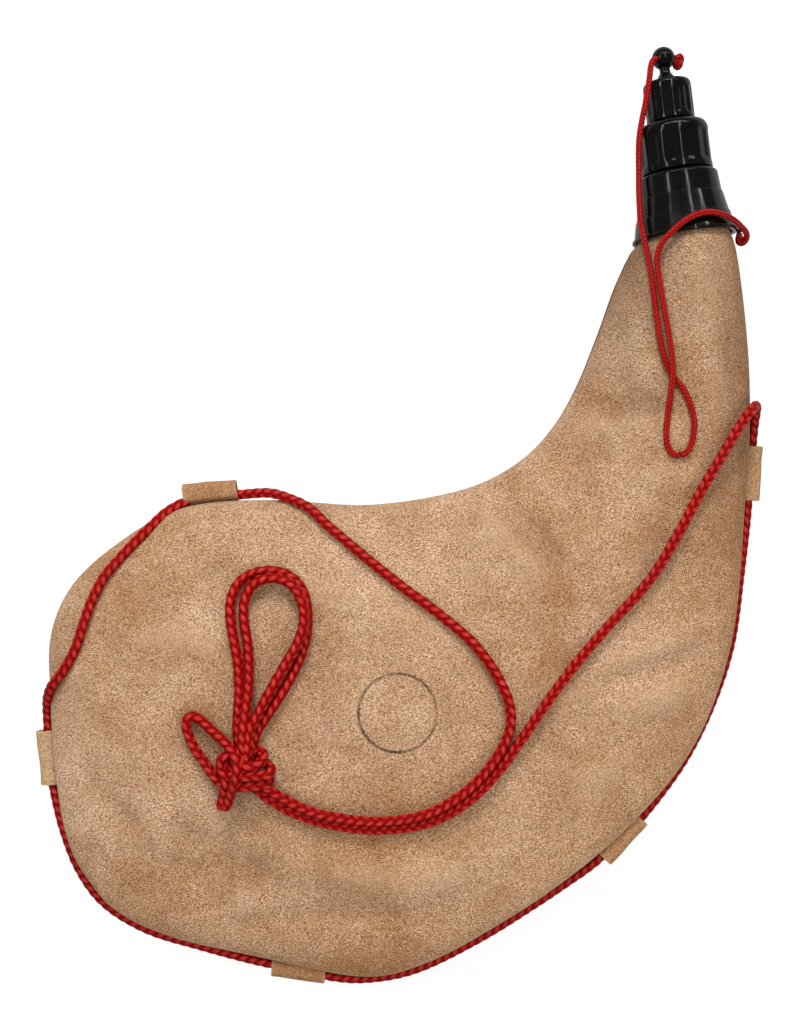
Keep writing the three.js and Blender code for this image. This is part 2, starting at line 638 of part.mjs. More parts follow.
// A leather strip folded round the cord, both ends sewn into the seam
function loopGeometry() {
  const slot = CORD / 2 + LOOP.room;
  const bend = slot + LEATHER;
  const far = LOOP.neck + slot + LOOP.slotRun;
  const near = LOOP.neck + slot;
  const strip = new THREE.Shape();
  strip.moveTo(FIT, -LEATHER);
  strip.lineTo(LOOP.neck, -LEATHER - FIT);
  strip.quadraticCurveTo(near - slot / 2, -bend, near, -bend);
  strip.lineTo(far, -bend);
  strip.absarc(far, 0, bend, -Math.PI / 2, Math.PI / 2);
  strip.lineTo(near, bend);
  strip.quadraticCurveTo(near - slot / 2, bend, LOOP.neck, LEATHER + FIT);
  strip.lineTo(FIT, LEATHER);
  strip.closePath();
  const passage = new THREE.Path();
  passage.absarc(far, 0, slot, -Math.PI / 2, Math.PI / 2);
  passage.absarc(near, 0, slot, Math.PI / 2, Math.PI * 1.5);
  passage.closePath();
  strip.holes.push(passage);
  const options = { depth: LOOP.width, bevelEnabled: false, curveSegments: 4 };
  const geometry = new THREE.ExtrudeGeometry(strip, options);
  geometry.translate(0, 0, -LOOP.width / 2);
  return geometry;
}

function loopMesh(name, count) {
  const { position, out } = edgeAt(count);
  const up = new THREE.Vector3(0, 0, 1);
  const along = new THREE.Vector3().crossVectors(out, up);
  const mesh = named(name, loopGeometry(), suede());
  mesh.rotation.setFromRotationMatrix(new THREE.Matrix4().makeBasis(out, up, along));
  mesh.position.set(position.x, position.y, SEAM_Z);
  return mesh;
}

function named(name, geometry, material) {
  const mesh = new THREE.Mesh(geometry, material);
  mesh.name = name;
  return mesh;
}

// The assembly
const canteen = new THREE.Group();
canteen.add(
  named("front_panel", panelGeometry(1), suede()),
  named("back_panel", panelGeometry(-1), suede()),
  named("bladder", linerGeometry(), latex()),
  named("seam_thread", seamThreadGeometry(), thread()),
);
for (const [name, count] of Object.entries(LOOP_SEATS)) canteen.add(loopMesh(name, count));

const neck = new THREE.Group();
neck.position.set(NECK_X, COLLAR_Y, SEAM_Z);
neck.add(
  named("neck_bush", bushGeometry(), blackPlastic()),
  named("collar", collarGeometry(), blackPlastic()),
  named("nozzle_gasket", gasketGeometry(), rubber()),
  named("nozzle", nozzleGeometry(), blackPlastic()),
  named("stopper_seal", sealGeometry(), rubber()),
  named("stopper", stopperGeometry(), blackPlastic()),
);
canteen.add(neck);

const tightStep = CORD_STEP / 2;
canteen.add(
  named("strap_edge_cord", strapTube(STRAP_EDGE_ROUTE), redCord()),
  named("strap_right_cord", knottedTube(STRAP_RIGHT_ROUTE), redCord()),
  named("strap_left_cord", knottedTube(STRAP_LEFT_ROUTE), redCord()),
  named("strap_bow_outer", knottedTube(BOW_OUTER_ROUTE), redCord()),
  named("strap_bow_inner", knottedTube(BOW_INNER_ROUTE), redCord()),
  named("strap_small_loop", knottedTube(SMALL_LOOP_ROUTE, tightStep), redCord()),
  named("strap_tail", knottedTube(TAIL_ROUTE, tightStep), redCord()),
  named("strap_knot", knotGeometry(STRAP_KNOT.centre, STRAP_KNOT.size), redCord()),
  named("tether_upper_cord", tetherTube(TETHER_UPPER_ROUTE), redCord()),
  named("tether_lower_cord", tetherTube(TETHER_LOWER_ROUTE), redCord()),
);

const ballKnotX = NECK_X + BALL.radius + FIT + BALL_KNOT.size[0] / 2;
const eyeKnotX = NECK_X + lipRadius + EYE.reach;
const ballKnotPlace = [ballKnotX, COLLAR_Y + ballY, SEAM_Z];
const eyeKnotPlace = [eyeKnotX, COLLAR_Y - EYE_KNOT.drop, SEAM_Z];
canteen.add(
  named("tether_ball_knot", knotGeometry(ballKnotPlace, BALL_KNOT.size), redCord()),
  named("tether_eye_knot", knotGeometry(eyeKnotPlace, EYE_KNOT.size), redCord()),
);

export default canteen;
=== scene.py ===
"""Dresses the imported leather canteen: suede skin, braided cords and a moulded nozzle, seen from above."""

import logging
import math
from collections.abc import Iterator
from contextlib import contextmanager
from dataclasses import dataclass, field
from enum import Enum
from functools import cached_property

import bpy
import numpy as np
from bpy.types import Material, Node, NodeSocket, NodeTree, Object
from mathutils import Matrix, Vector, noise


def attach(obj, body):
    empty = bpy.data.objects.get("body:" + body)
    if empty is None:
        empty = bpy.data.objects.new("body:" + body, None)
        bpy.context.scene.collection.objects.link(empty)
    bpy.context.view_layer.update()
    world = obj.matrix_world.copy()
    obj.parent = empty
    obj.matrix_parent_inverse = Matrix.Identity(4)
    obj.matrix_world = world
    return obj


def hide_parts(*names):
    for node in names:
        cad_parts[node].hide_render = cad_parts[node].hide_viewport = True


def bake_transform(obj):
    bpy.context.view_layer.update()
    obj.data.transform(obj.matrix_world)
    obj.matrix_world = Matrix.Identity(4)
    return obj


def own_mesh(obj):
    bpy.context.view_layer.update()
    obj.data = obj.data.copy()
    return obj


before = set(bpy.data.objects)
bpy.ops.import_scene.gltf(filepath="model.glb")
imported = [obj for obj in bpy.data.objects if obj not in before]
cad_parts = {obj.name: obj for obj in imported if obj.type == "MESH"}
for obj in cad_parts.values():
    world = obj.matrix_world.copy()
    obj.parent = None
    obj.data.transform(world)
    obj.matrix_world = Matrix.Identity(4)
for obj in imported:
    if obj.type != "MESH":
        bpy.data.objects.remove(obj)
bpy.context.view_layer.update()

log = logging.getLogger("canteen")

MM = 0.001
SEAM_Z = 27.0
NECK_X = 177.0
COLLAR_Y = 231.0

Array = np.ndarray
Point = tuple[float, float, float]
Route = tuple[Point, ...]
Place = tuple[float, float]
Pair = tuple[float, float]
Row = tuple[float, ...]
Rgb = tuple[int, int, int]
Tint = tuple[float, float, float, float]


class Body(Enum):
    """The bodies of the frame that pieces ride on."""

    SKIN = "skin"
    NOZZLE_WASHER = "nozzle_washer"
    NOZZLE_CAP = "nozzle_cap"
    STOPPER_WASHER = "stopper_washer"
    STOPPER_CAP = "stopper_cap"


class Slot(Enum):
    """The record's material slots."""

    SUEDE = "suede"
    BLACK_PLASTIC = "black_plastic"
    LATEX = "latex"
    SEAL_RUBBER = "seal_rubber"
    RED_CORD = "red_cord"
    SEWING_THREAD = "sewing_thread"


class Side(Enum):
    """The two leather panels."""

    FRONT = 1
    BACK = -1


class Cut(Enum):
    """What a tool's solid does to a piece."""

    JOIN = "UNION"
    TAKE = "DIFFERENCE"


class FarEnd(Enum):
    """What the far end of a cord is."""

    KNOT = "knot"
    BARE = "bare"
    OBJECT = "object"


# Small helpers


def linear(colour: Rgb) -> Tint:
    """Turns a colour as it is seen on screen into the shader's linear values.

    Args:
        colour: Red, green and blue from 0 to 255.

    Returns:
        The linear colour with full alpha.
    """
    parts = [c / 255 for c in colour]
    return (*[p / 12.92 if p <= 0.04045 else ((p + 0.055) / 1.055) ** 2.4 for p in parts], 1.0)


def smoothstep(low: float, high: float, value: Array) -> Array:
    """Eases from 0 at low to 1 at high."""
    t = np.clip((value - low) / (high - low), 0.0, 1.0)
    return t * t * (3 - 2 * t)


def spline_at(points: Array, counts: Array) -> Array:
    """Samples a centripetal spline through given points.

    Args:
        points: The points, one row each.
        counts: Places along it, counted in points from 0.

    Returns:
        One row for each place.
    """
    ends = np.vstack([2 * points[0] - points[1], points, 2 * points[-1] - points[-2]])
    span = np.clip(np.floor(counts).astype(int), 0, len(points) - 2)
    t = (counts - span)[:, None]
    p0, p1, p2, p3 = (ends[span + k] for k in range(4))
    d0, d1, d2 = (
        np.maximum(np.sqrt(np.linalg.norm(b - a, axis=1)), 1e-4)[:, None]
        for a, b in ((p0, p1), (p1, p2), (p2, p3))
    )
    m1 = ((p1 - p0) / d0 - (p2 - p0) / (d0 + d1) + (p2 - p1) / d1) * d1
    m2 = ((p2 - p1) / d1 - (p3 - p1) / (d1 + d2) + (p3 - p2) / d2) * d1
    cubic = 2 * p1 - 2 * p2 + m1 + m2
    square = -3 * p1 + 3 * p2 - 2 * m1 - m2
    return p1 + m1 * t + square * t**2 + cubic * t**3


def even_line(points: Array, step: float) -> Array:
    """Lays a spline through points and cuts it into even steps.

    Args:
        points: The given points in millimetres.
        step: The wanted distance between two rings.

    Returns:
        Evenly spaced points from the first end to the other.
    """
    spans, samples = len(points) - 1, 60
    dense = spline_at(points, np.linspace(0, spans, spans * samples + 1))
    run = np.concatenate([[0.0], np.cumsum(np.linalg.norm(np.diff(dense, axis=0), axis=1))])
    at = np.linspace(0, run[-1], max(4, int(round(run[-1] / step)) + 1))
    return np.column_stack([np.interp(at, run, dense[:, k]) for k in range(3)])


def line_length(points: Array) -> float:
    """Returns the length of a line of points."""
    return float(np.linalg.norm(np.diff(points, axis=0), axis=1).sum())


def carried(points: Array) -> tuple[Array, Array]:
    """Carries a frame along a line without twisting it.

    Args:
        points: The line's points.

    Returns:
        Two side directions at each point.
    """
    tangents = np.gradient(points, axis=0)
    tangents /= np.linalg.norm(tangents, axis=1)[:, None]
    first = np.zeros_like(points)
    leaning = (0.31, 0.17, 0.94)
    side = np.cross(tangents[0], leaning)
    for i, tangent in enumerate(tangents):
        side = side - tangent * side.dot(tangent)
        side = side / np.linalg.norm(side)
        first[i] = side
    return first, np.cross(tangents, first)


class MeshBench:
    """Makes, selects and finishes meshes."""

    @staticmethod
    def clear() -> None:
        """Leaves edit mode and deselects everything."""
        if bpy.context.object is not None and bpy.context.object.mode != "OBJECT":
            bpy.ops.object.mode_set(mode="OBJECT")
        bpy.ops.object.select_all(action="DESELECT")

    @staticmethod
    @contextmanager
    def editing(select: str = "SELECT") -> Iterator[None]:
        """Opens the active object in edit mode for a while.

        Args:
            select: Blender's name for selecting all of it or nothing.

        Yields:
            Nothing.
        """
        bpy.ops.object.mode_set(mode="EDIT")
        bpy.ops.mesh.select_all(action=select)
        yield
        bpy.ops.object.mode_set(mode="OBJECT")

    @classmethod
    def take(cls, obj: Object) -> None:
        """Selects one object alone and makes it active.

        Args:
            obj: The object.
        """
        cls.clear()
        obj.select_set(True)
        bpy.context.view_layer.objects.active = obj

    @staticmethod
    def from_points(name: str, points: Array, faces: list) -> Object:
        """Makes a mesh object from points in millimetres.

        Args:
            name: The piece's name.
            points: One row for each vertex.
            faces: Lists of vertex numbers.

        Returns:
            The new object, smooth shaded.
        """
        mesh = bpy.data.meshes.new(name)
        mesh.from_pydata((points * MM).tolist(), [], faces)
        mesh.polygons.foreach_set("use_smooth", np.ones(len(mesh.polygons), dtype=bool))
        mesh.update()
        obj = bpy.data.objects.new(name, mesh)
        bpy.context.scene.collection.objects.link(obj)
        return obj

    @staticmethod
    def mark(obj: Object, name: str, values: Array) -> None:
        """Stores one number for each vertex under a name that a material reads."""
        layer = obj.data.attributes.new(name, "FLOAT", "POINT")
        layer.data.foreach_set("value", values.astype(np.float32).ravel())

    @classmethod
    def apply(cls, obj: Object) -> None:
        """Applies every modifier of an object, in order.

        Args:
            obj: The object.
        """
        cls.take(obj)
        for modifier in list(obj.modifiers):
            bpy.ops.object.modifier_apply(modifier=modifier.name)

    @classmethod
    def weld(cls, obj: Object, distance: float = 1e-7, outward: bool = False) -> None:
        """Merges doubled points, and turns the faces of a closed shell outwards if asked.

        Args:
            obj: The object.
            distance: How near two points are when they count as one, in metres.
            outward: Whether the faces are turned.
        """
        cls.take(obj)
        with cls.editing():
            bpy.ops.mesh.remove_doubles(threshold=distance)
            if outward:
                bpy.ops.mesh.normals_make_consistent(inside=False)

    @classmethod
    def settle(cls, obj: Object) -> None:
        """Puts an object's place, turn and scale into its mesh."""
        cls.take(obj)
        bpy.ops.object.transform_apply(location=True, rotation=True, scale=True)

    @classmethod
    def cut(cls, obj: Object, tool: Object, operation: Cut) -> None:
        """Joins a tool's solid to an object or takes it away, and removes the tool.

        Args:
            obj: The object.
            tool: The tool.
            operation: What the tool does.
        """
        modifier = obj.modifiers.new("cut", "BOOLEAN")
        modifier.operation = operation.value
        modifier.solver = "EXACT"
        modifier.object = tool
        cls.apply(obj)
        bpy.data.objects.remove(tool)

    @staticmethod
    def thicken(obj: Object, wall: float, offset: float) -> None:
        """Plans a wall of a thickness in millimetres, inside the surface (-1) or about it (0)."""
        modifier = obj.modifiers.new("wall", "SOLIDIFY")
        modifier.thickness, modifier.offset = wall * MM, offset

    @classmethod
    def shade(cls, obj: Object, degrees: float) -> None:
        """Shades smooth, with edges sharper than an angle kept crisp."""
        cls.take(obj)
        bpy.ops.object.shade_smooth_by_angle(angle=math.radians(degrees))


def place_piece(obj: Object, body: Body | None, slot: Slot, material: Material, *nodes: str) -> None:
    """Gives a piece its finish, its body and the nodes that it stands for.

    Args:
        obj: The finished piece.
        body: The body that it rides on, or None where it is stretched between two.
        slot: The record's material slot; not used.
        material: Its finish.
        nodes: The frame's nodes that it replaces.
    """
    obj.data.materials.clear()
    obj.data.materials.append(material)
    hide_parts(*nodes)
    if body is not None:
        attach(obj, body.value)
    log.info("%s is placed, %d faces", obj.name, len(obj.data.polygons))


# Shader work


class NodeBench:
    """Places nodes in one tree and links them."""

    def __init__(self, tree: NodeTree) -> None:
        """Starts on a tree."""
        self.tree = tree

    def node(self, kind: str, **settings: object) -> Node:
        """Adds a node and sets its options.

        Args:
            kind: Blender's name for its type.
            settings: Its options.

        Returns:
            The node.
        """
        made = self.tree.nodes.new(kind)
        for key, value in settings.items():
            setattr(made, key, value)
        return made

    def feed(self, socket: NodeSocket, value: object) -> None:
        """Links an output to a socket, or sets the socket's own value.

        Args:
            socket: The socket.
            value: An output or a plain value.
        """
        if isinstance(value, NodeSocket):
            self.tree.links.new(value, socket)
        else:
            socket.default_value = value

    def fill(self, made: Node, inputs: dict[str, object]) -> None:
        """Feeds a node's inputs by name."""
        for name, value in inputs.items():
            self.feed(made.inputs[name], value)

    def math(self, operation: str, first: object, second: object = 0.0) -> NodeSocket:
        """Adds a Math node.

        Args:
            operation: What it does.
            first: Its first value or output.
            second: Its second value or output.

        Returns:
            The result.
        """
        made = self.node("ShaderNodeMath", operation=operation)
        self.feed(made.inputs[0], first)
        self.feed(made.inputs[1], second)
        return made.outputs[0]

    def times(self, first: object, second: object) -> NodeSocket:
        """Multiplies two values.

        Args:
            first: A number or an output.
            second: A number or an output.

        Returns:
            The product.
        """
        return self.math("MULTIPLY", first, second)

    def mix(self, factor: object, first: object, second: object, blend: str = "MIX") -> NodeSocket:
        """Adds a colour mix.

        Args:
            factor: The share of the second colour.
            first: The first colour.
            second: The second colour.
            blend: How they are mixed.

        Returns:
            The mixed colour.
        """
        made = self.node("ShaderNodeMix", data_type="RGBA", blend_type=blend)
        self.feed(made.inputs[0], factor)
        self.feed(made.inputs[6], first)
        self.feed(made.inputs[7], second)
        return made.outputs[2]

    def span(
        self, value: object, low: object, high: object, to_low: object = 0.0, to_high: object = 1.0
    ) -> NodeSocket:
        """Maps a value from one range to another, clamped.

        Args:
            value: The value.
            low: The low end of its range.
            high: The high end of its range.
            to_low: What the low end becomes.
            to_high: What the high end becomes.

        Returns:
            The mapped value.
        """
        made = self.node("ShaderNodeMapRange", clamp=True)
        for socket, entry in zip(made.inputs, (value, low, high, to_low, to_high)):
            self.feed(socket, entry)
        return made.outputs[0]

    def noise(
        self, vector: object, scale: object, detail: float, roughness: float, distortion: object = 0.0
    ) -> NodeSocket:
        """Adds a noise texture.

        Args:
            vector: The coordinates.
            scale: Its scale.
            detail: How many finer layers it has.
            roughness: How strong they are.
            distortion: How far it is bent.

        Returns:
            Its value.
        """
        made = self.node("ShaderNodeTexNoise", noise_dimensions="3D")
        self.fill(made, {"Vector": vector, "Scale": scale, "Detail": detail})
        self.fill(made, {"Roughness": roughness, "Distortion": distortion})
        return made.outputs["Fac"]

    def place(self, stretch: Point = (1.0, 1.0, 1.0)) -> NodeSocket:
        """Finds the piece's own coordinates.

        Args:
            stretch: The scale along each axis.

        Returns:
            The coordinates.
        """
        coordinates = self.node("ShaderNodeTexCoord").outputs["Object"]
        if stretch == (1.0, 1.0, 1.0):
            return coordinates
        mapping = self.node("ShaderNodeMapping")
        self.fill(mapping, {"Vector": coordinates, "Scale": stretch})
        return mapping.outputs["Vector"]

    def drifted(self, scale: float, reach: float, stretch: Point) -> NodeSocket:
        """Returns the piece's own coordinates, bent by broad noise and then stretched.

        Args:
            scale: The broad noise's scale.
            reach: How far it moves them, in metres.
            stretch: The scale along each axis.

        Returns:
            The bent coordinates.
        """
        wander = self.node("ShaderNodeTexNoise", noise_dimensions="3D")
        self.fill(wander, {"Vector": self.place(), "Scale": scale, "Detail": 1.0})
        shift = self.node("ShaderNodeVectorMath", operation="MULTIPLY_ADD")
        self.feed(shift.inputs[0], wander.outputs["Color"])
        shift.inputs[1].default_value = (reach, reach, reach)
        self.feed(shift.inputs[2], self.place())
        mapping = self.node("ShaderNodeMapping")
        self.fill(mapping, {"Vector": shift.outputs[0], "Scale": stretch})
        return mapping.outputs["Vector"]

    def layer(self, name: str) -> NodeSocket:
        """Returns the number stored in the mesh under a name."""
        made = self.node("ShaderNodeAttribute", attribute_type="GEOMETRY", attribute_name=name)
        return made.outputs["Fac"]

    def bump(self, height: object, strength: float, distance: float) -> NodeSocket:
        """Adds a bump node.

        Args:
            height: The height.
            strength: How strong it is.
            distance: How far it stands out, in metres.

        Returns:
            The bent normal.
        """
        made = self.node("ShaderNodeBump")
        self.fill(made, {"Strength": strength, "Distance": distance, "Height": height})
        return made.outputs["Normal"]

    def group(self, tree: NodeTree, **values: float) -> Node:
        """Places a node group and sets its inputs.

        Args:
            tree: The group.
            values: Its inputs by name.

        Returns:
            The group's node.
        """
        made = self.node("ShaderNodeGroup", node_tree=tree)
        for key, value in values.items():
            made.inputs[key.replace("_", " ").capitalize()].default_value = value
        return made


class Effects:
    """Node groups that several finishes share, each built once."""

    @staticmethod
    def _start(
        name: str, inputs: dict[str, float], outputs: tuple[str, ...]
    ) -> tuple[NodeBench, dict, dict]:
        """Opens a new group.

        Args:
            name: The group's name.
            inputs: Its number inputs with their usual values.
            outputs: Its number outputs.

        Returns:
            A bench on the group, its input sockets and its output sockets.
        """
        tree = bpy.data.node_groups.new(name, "ShaderNodeTree")
        for label, usual in inputs.items():
            socket = tree.interface.new_socket(label, in_out="INPUT", socket_type="NodeSocketFloat")
            socket.default_value = usual
        for label in outputs:
            tree.interface.new_socket(label, in_out="OUTPUT", socket_type="NodeSocketFloat")
        bench = NodeBench(tree)
        entry, leave = bench.node("NodeGroupInput"), bench.node("NodeGroupOutput")
        return bench, {n: entry.outputs[n] for n in inputs}, {n: leave.inputs[n] for n in outputs}

    @cached_property
    def nap(self) -> NodeTree:
        """Builds short curly fibres of suede: how light, and so how high, each tuft is.

        Returns:
            The group.
        """
        bench, given, out = self._start("nap", {"Scale": 1300.0, "Curl": 0.7}, ("Shade",))
        bent = bench.drifted(60.0, 0.004, (0.8, 1.0, 0.9))
        strokes = bench.noise(bent, given["Scale"], 1.5, 0.55, given["Curl"])
        worms = bench.span(strokes, 0.32, 0.68)
        fine = bench.noise(bench.place(), bench.times(given["Scale"], 2.3), 1.0, 0.5, 0.4)
        tufts = bench.span(fine, 0.28, 0.72)
        curls = bench.times(worms, 0.56)
        bench.feed(out["Shade"], bench.math("ADD", curls, bench.times(tufts, 0.44)))
        return bench.tree

    @cached_property
    def mottle(self) -> NodeTree:
        """Builds clouds of colour in a natural material, broad ones and small ones.

        Returns:
            The group.
        """
        bench, given, out = self._start("mottle", {"Scale": 26.0}, ("Broad", "Patch"))
        place = bench.place()
        broad = bench.noise(place, given["Scale"], 2.0, 0.5, 0.3)
        patch = bench.noise(place, bench.times(given["Scale"], 3.3), 2.0, 0.6, 0.5)
        bench.feed(out["Broad"], bench.span(broad, 0.3, 0.7))
        bench.feed(out["Patch"], bench.span(patch, 0.3, 0.7))
        return bench.tree

    @cached_property
    def scuff(self) -> NodeTree:
        """Builds handling marks: thin scratches and a soft haze.

        Returns:
            The group.
        """
        bench, given, out = self._start("scuff", {"Scale": 160.0}, ("Scratch", "Haze"))
        across = bench.noise(bench.place((1.0, 7.0, 1.0)), given["Scale"], 2.0, 0.6, 0.8)
        along = bench.noise(bench.place((6.0, 1.0, 6.0)), given["Scale"], 2.0, 0.6, 0.8)
        wide, tall = bench.span(across, 0.66, 0.74), bench.span(along, 0.67, 0.75)
        lines = bench.math("MAXIMUM", wide, tall)
        haze = bench.noise(bench.place(), bench.times(given["Scale"], 0.6), 3.0, 0.65)
        bench.feed(out["Scratch"], lines)
        bench.feed(out["Haze"], bench.span(haze, 0.35, 0.75))
        return bench.tree


EFFECTS = Effects()


def new_material(name: str) -> tuple[Material, NodeBench, Node]:
    """Starts a material.

    Args:
        name: Its name.

    Returns:
        The material, a bench on its tree and its Principled shader.
    """
    material = bpy.data.materials.new(name)
    material.use_nodes = True
    shader = material.node_tree.nodes["Principled BSDF"]
    return material, NodeBench(material.node_tree), shader


@dataclass(frozen=True)
class Suede:
    """Undyed split leather with a short curly nap."""

    name: str
    deep: Rgb = (100, 60, 32)
    pale: Rgb = (255, 226, 194)
    tan: Rgb = (221, 168, 123)
    # Browner, darker tone: painted shade towards the seam, a browner patch low on the face, and browner
    # strips.
    deep_tan: Rgb = (208, 142, 80)
    # Paler colour: the strips' cut edges, and a painted highlight on the skin's rolled edge and fold ridges.
    pale_and_highlight: Rgb = (236, 196, 158)
    # Colour of the painted shade.
    painted_shade: Rgb = (96, 62, 40)
    sheen: Rgb = (255, 226, 196)
    sheen_weight: float = 0.12
    sheen_roughness: float = 0.5
    specular: float = 0.12
    roughness: Pair = (0.98, 0.82)
    bump: Pair = (0.85, 0.001)
    deep_tan_share: float = 0.85
    pale_and_highlight_share: float = 0.75
    painted_shade_strength: float = 0.8
    nap_scale: float = 1750.0
    nap_curl: float = 0.7
    contrast: float = 1.0
    clouds: float = 1.0
    cloud_scale: float = 16.0
    brown_cloud: Tint = (0.81, 0.72, 0.617, 1.0)
    dusty_cloud: Tint = (1.213, 1.331, 1.485, 1.0)
    worn_ring: bool = False
    ring_place: Place = (5.9, 16.8)
    ring_radius: float = 18.8
    ring_line: Place = (0.4, 0.9)
    ink: Rgb = (58, 36, 24)

    def material(self) -> Material:
        """Builds the suede.

        Returns:
            The material.
        """
        material, bench, shader = new_material(self.name)
        nap = bench.group(EFFECTS.nap, scale=self.nap_scale, curl=self.nap_curl)
        # Browner, darker tone from this mark: painted shade towards the seam, and a browner patch and strips.
        deep_tan_mix = bench.times(bench.layer("darkening"), self.deep_tan_share)
        ground = bench.mix(deep_tan_mix, linear(self.tan), linear(self.deep_tan))
        spread = 0.5 * self.contrast
        shade = bench.span(nap.outputs["Shade"], 0.2, 0.8, 0.5 - spread, 0.5 + spread)
        dark = bench.mix(bench.span(shade, 0.0, 0.5, 1.0, 0.0), ground, linear(self.deep))
        light = bench.mix(bench.span(shade, 0.5, 1.0), dark, linear(self.pale))
        cloudy = bench.mix(self.clouds, light, self._clouds(bench), "MULTIPLY")
        # Painted highlight on the skin's rolled edge and fold ridges; on the strips, their paler cut edges.
        pale_and_highlight = bench.mix(bench.times(bench.layer("pale_cut_edge_and_highlight"), self.pale_and_highlight_share), cloudy, linear(self.pale_and_highlight))
        # Painted shade: darker colour in the seam, in fold valleys, near the collar, on the neck's sides and
        # where the strips go into the seam.
        painted_shade = bench.mix(bench.times(bench.layer("painted_shade"), self.painted_shade_strength), pale_and_highlight, linear(self.painted_shade))
        colour = self._ring(bench, painted_shade, nap) if self.worn_ring else painted_shade
        rough = bench.span(nap.outputs["Shade"], 0.0, 1.0, *self.roughness)
        bump = bench.bump(nap.outputs["Shade"], *self.bump)
        bench.fill(shader, {"Base Color": colour, "Roughness": rough, "Normal": bump})
        bench.fill(shader, {"Sheen Weight": self.sheen_weight, "Sheen Roughness": self.sheen_roughness})
        bench.fill(shader, {"Sheen Tint": linear(self.sheen), "Specular IOR Level": self.specular})
        return material

    def _clouds(self, bench: NodeBench) -> NodeSocket:
        """Makes a tint that drifts between warm brown and dusty pale over the hide.

        Args:
            bench: The material's bench.

        Returns:
            The tint.
        """
        mottle = bench.group(EFFECTS.mottle, scale=self.cloud_scale)
        broad = bench.times(mottle.outputs["Broad"], 0.55)
        both = bench.math("ADD", broad, bench.times(mottle.outputs["Patch"], 0.45))
        return bench.mix(bench.span(both, 0.08, 0.92), self.brown_cloud, self.dusty_cloud)

    def _ring(self, bench: NodeBench, under: object, nap: Node) -> NodeSocket:
        """Lays a plain ring of ink, faded in patches, on the face.

        Args:
            bench: The material's bench.
            under: The leather's colour.
            nap: The nap group, whose tufts break the ink up.

        Returns:
            The colour with the ring on it.
        """
        x, y = self.ring_place
        mapping = bench.node("ShaderNodeMapping")
        bench.fill(mapping, {"Vector": bench.place(), "Location": (-x * MM, -y * MM, 0.0)})
        bench.fill(mapping, {"Scale": (1.0, 1.0, 0.0)})
        length = bench.node("ShaderNodeVectorMath", operation="LENGTH")
        bench.feed(length.inputs[0], mapping.outputs["Vector"])
        off = bench.math("ABSOLUTE", bench.math("SUBTRACT", length.outputs["Value"], self.ring_radius * MM))
        core, rim = self.ring_line
        line = bench.span(off, core * MM, rim * MM, 1.0, 0.0)
        darkening = bench.span(bench.noise(bench.place(), 60.0, 3.0, 0.6), 0.4, 0.55, 0.5, 0.95)
        broken = bench.span(nap.outputs["Shade"], 0.3, 0.85, 1.0, 0.65)
        ink = bench.times(bench.times(line, darkening), broken)
        return bench.mix(ink, under, linear(self.ink))


@dataclass(frozen=True)
class BlackPlastic:
    """Glossy black moulding with light handling marks."""

    name: str = "black_moulding"
    ground: Rgb = (7, 7, 7)
    dust: Rgb = (26, 24, 22)
    haze: float = 0.12
    scratches: float = 0.25
    roughness: Row = (0.1, 0.08, 0.1)
    bump: Pair = (0.12, 0.0004)
    specular: float = 0.3

    def material(self) -> Material:
        """Builds the plastic.

        Returns:
            The material.
        """
        material, bench, shader = new_material(self.name)
        scuff = bench.group(EFFECTS.scuff, scale=170.0)
        haze = bench.times(scuff.outputs["Haze"], self.haze)
        marks = bench.math("MAXIMUM", haze, bench.times(scuff.outputs["Scratch"], self.scratches))
        colour = bench.mix(marks, linear(self.ground), linear(self.dust))
        least, hazy, scratched = self.roughness
        rough = bench.math("ADD", bench.times(scuff.outputs["Haze"], hazy), least)
        rough = bench.math("ADD", rough, bench.times(scuff.outputs["Scratch"], scratched))
        waves = bench.noise(bench.place((1.0, 0.4, 1.0)), 120.0, 2.0, 0.5)
        bump = bench.bump(waves, *self.bump)
        bench.fill(shader, {"Base Color": colour, "Roughness": rough, "Normal": bump})
        bench.fill(shader, {"Specular IOR Level": self.specular})
        return material


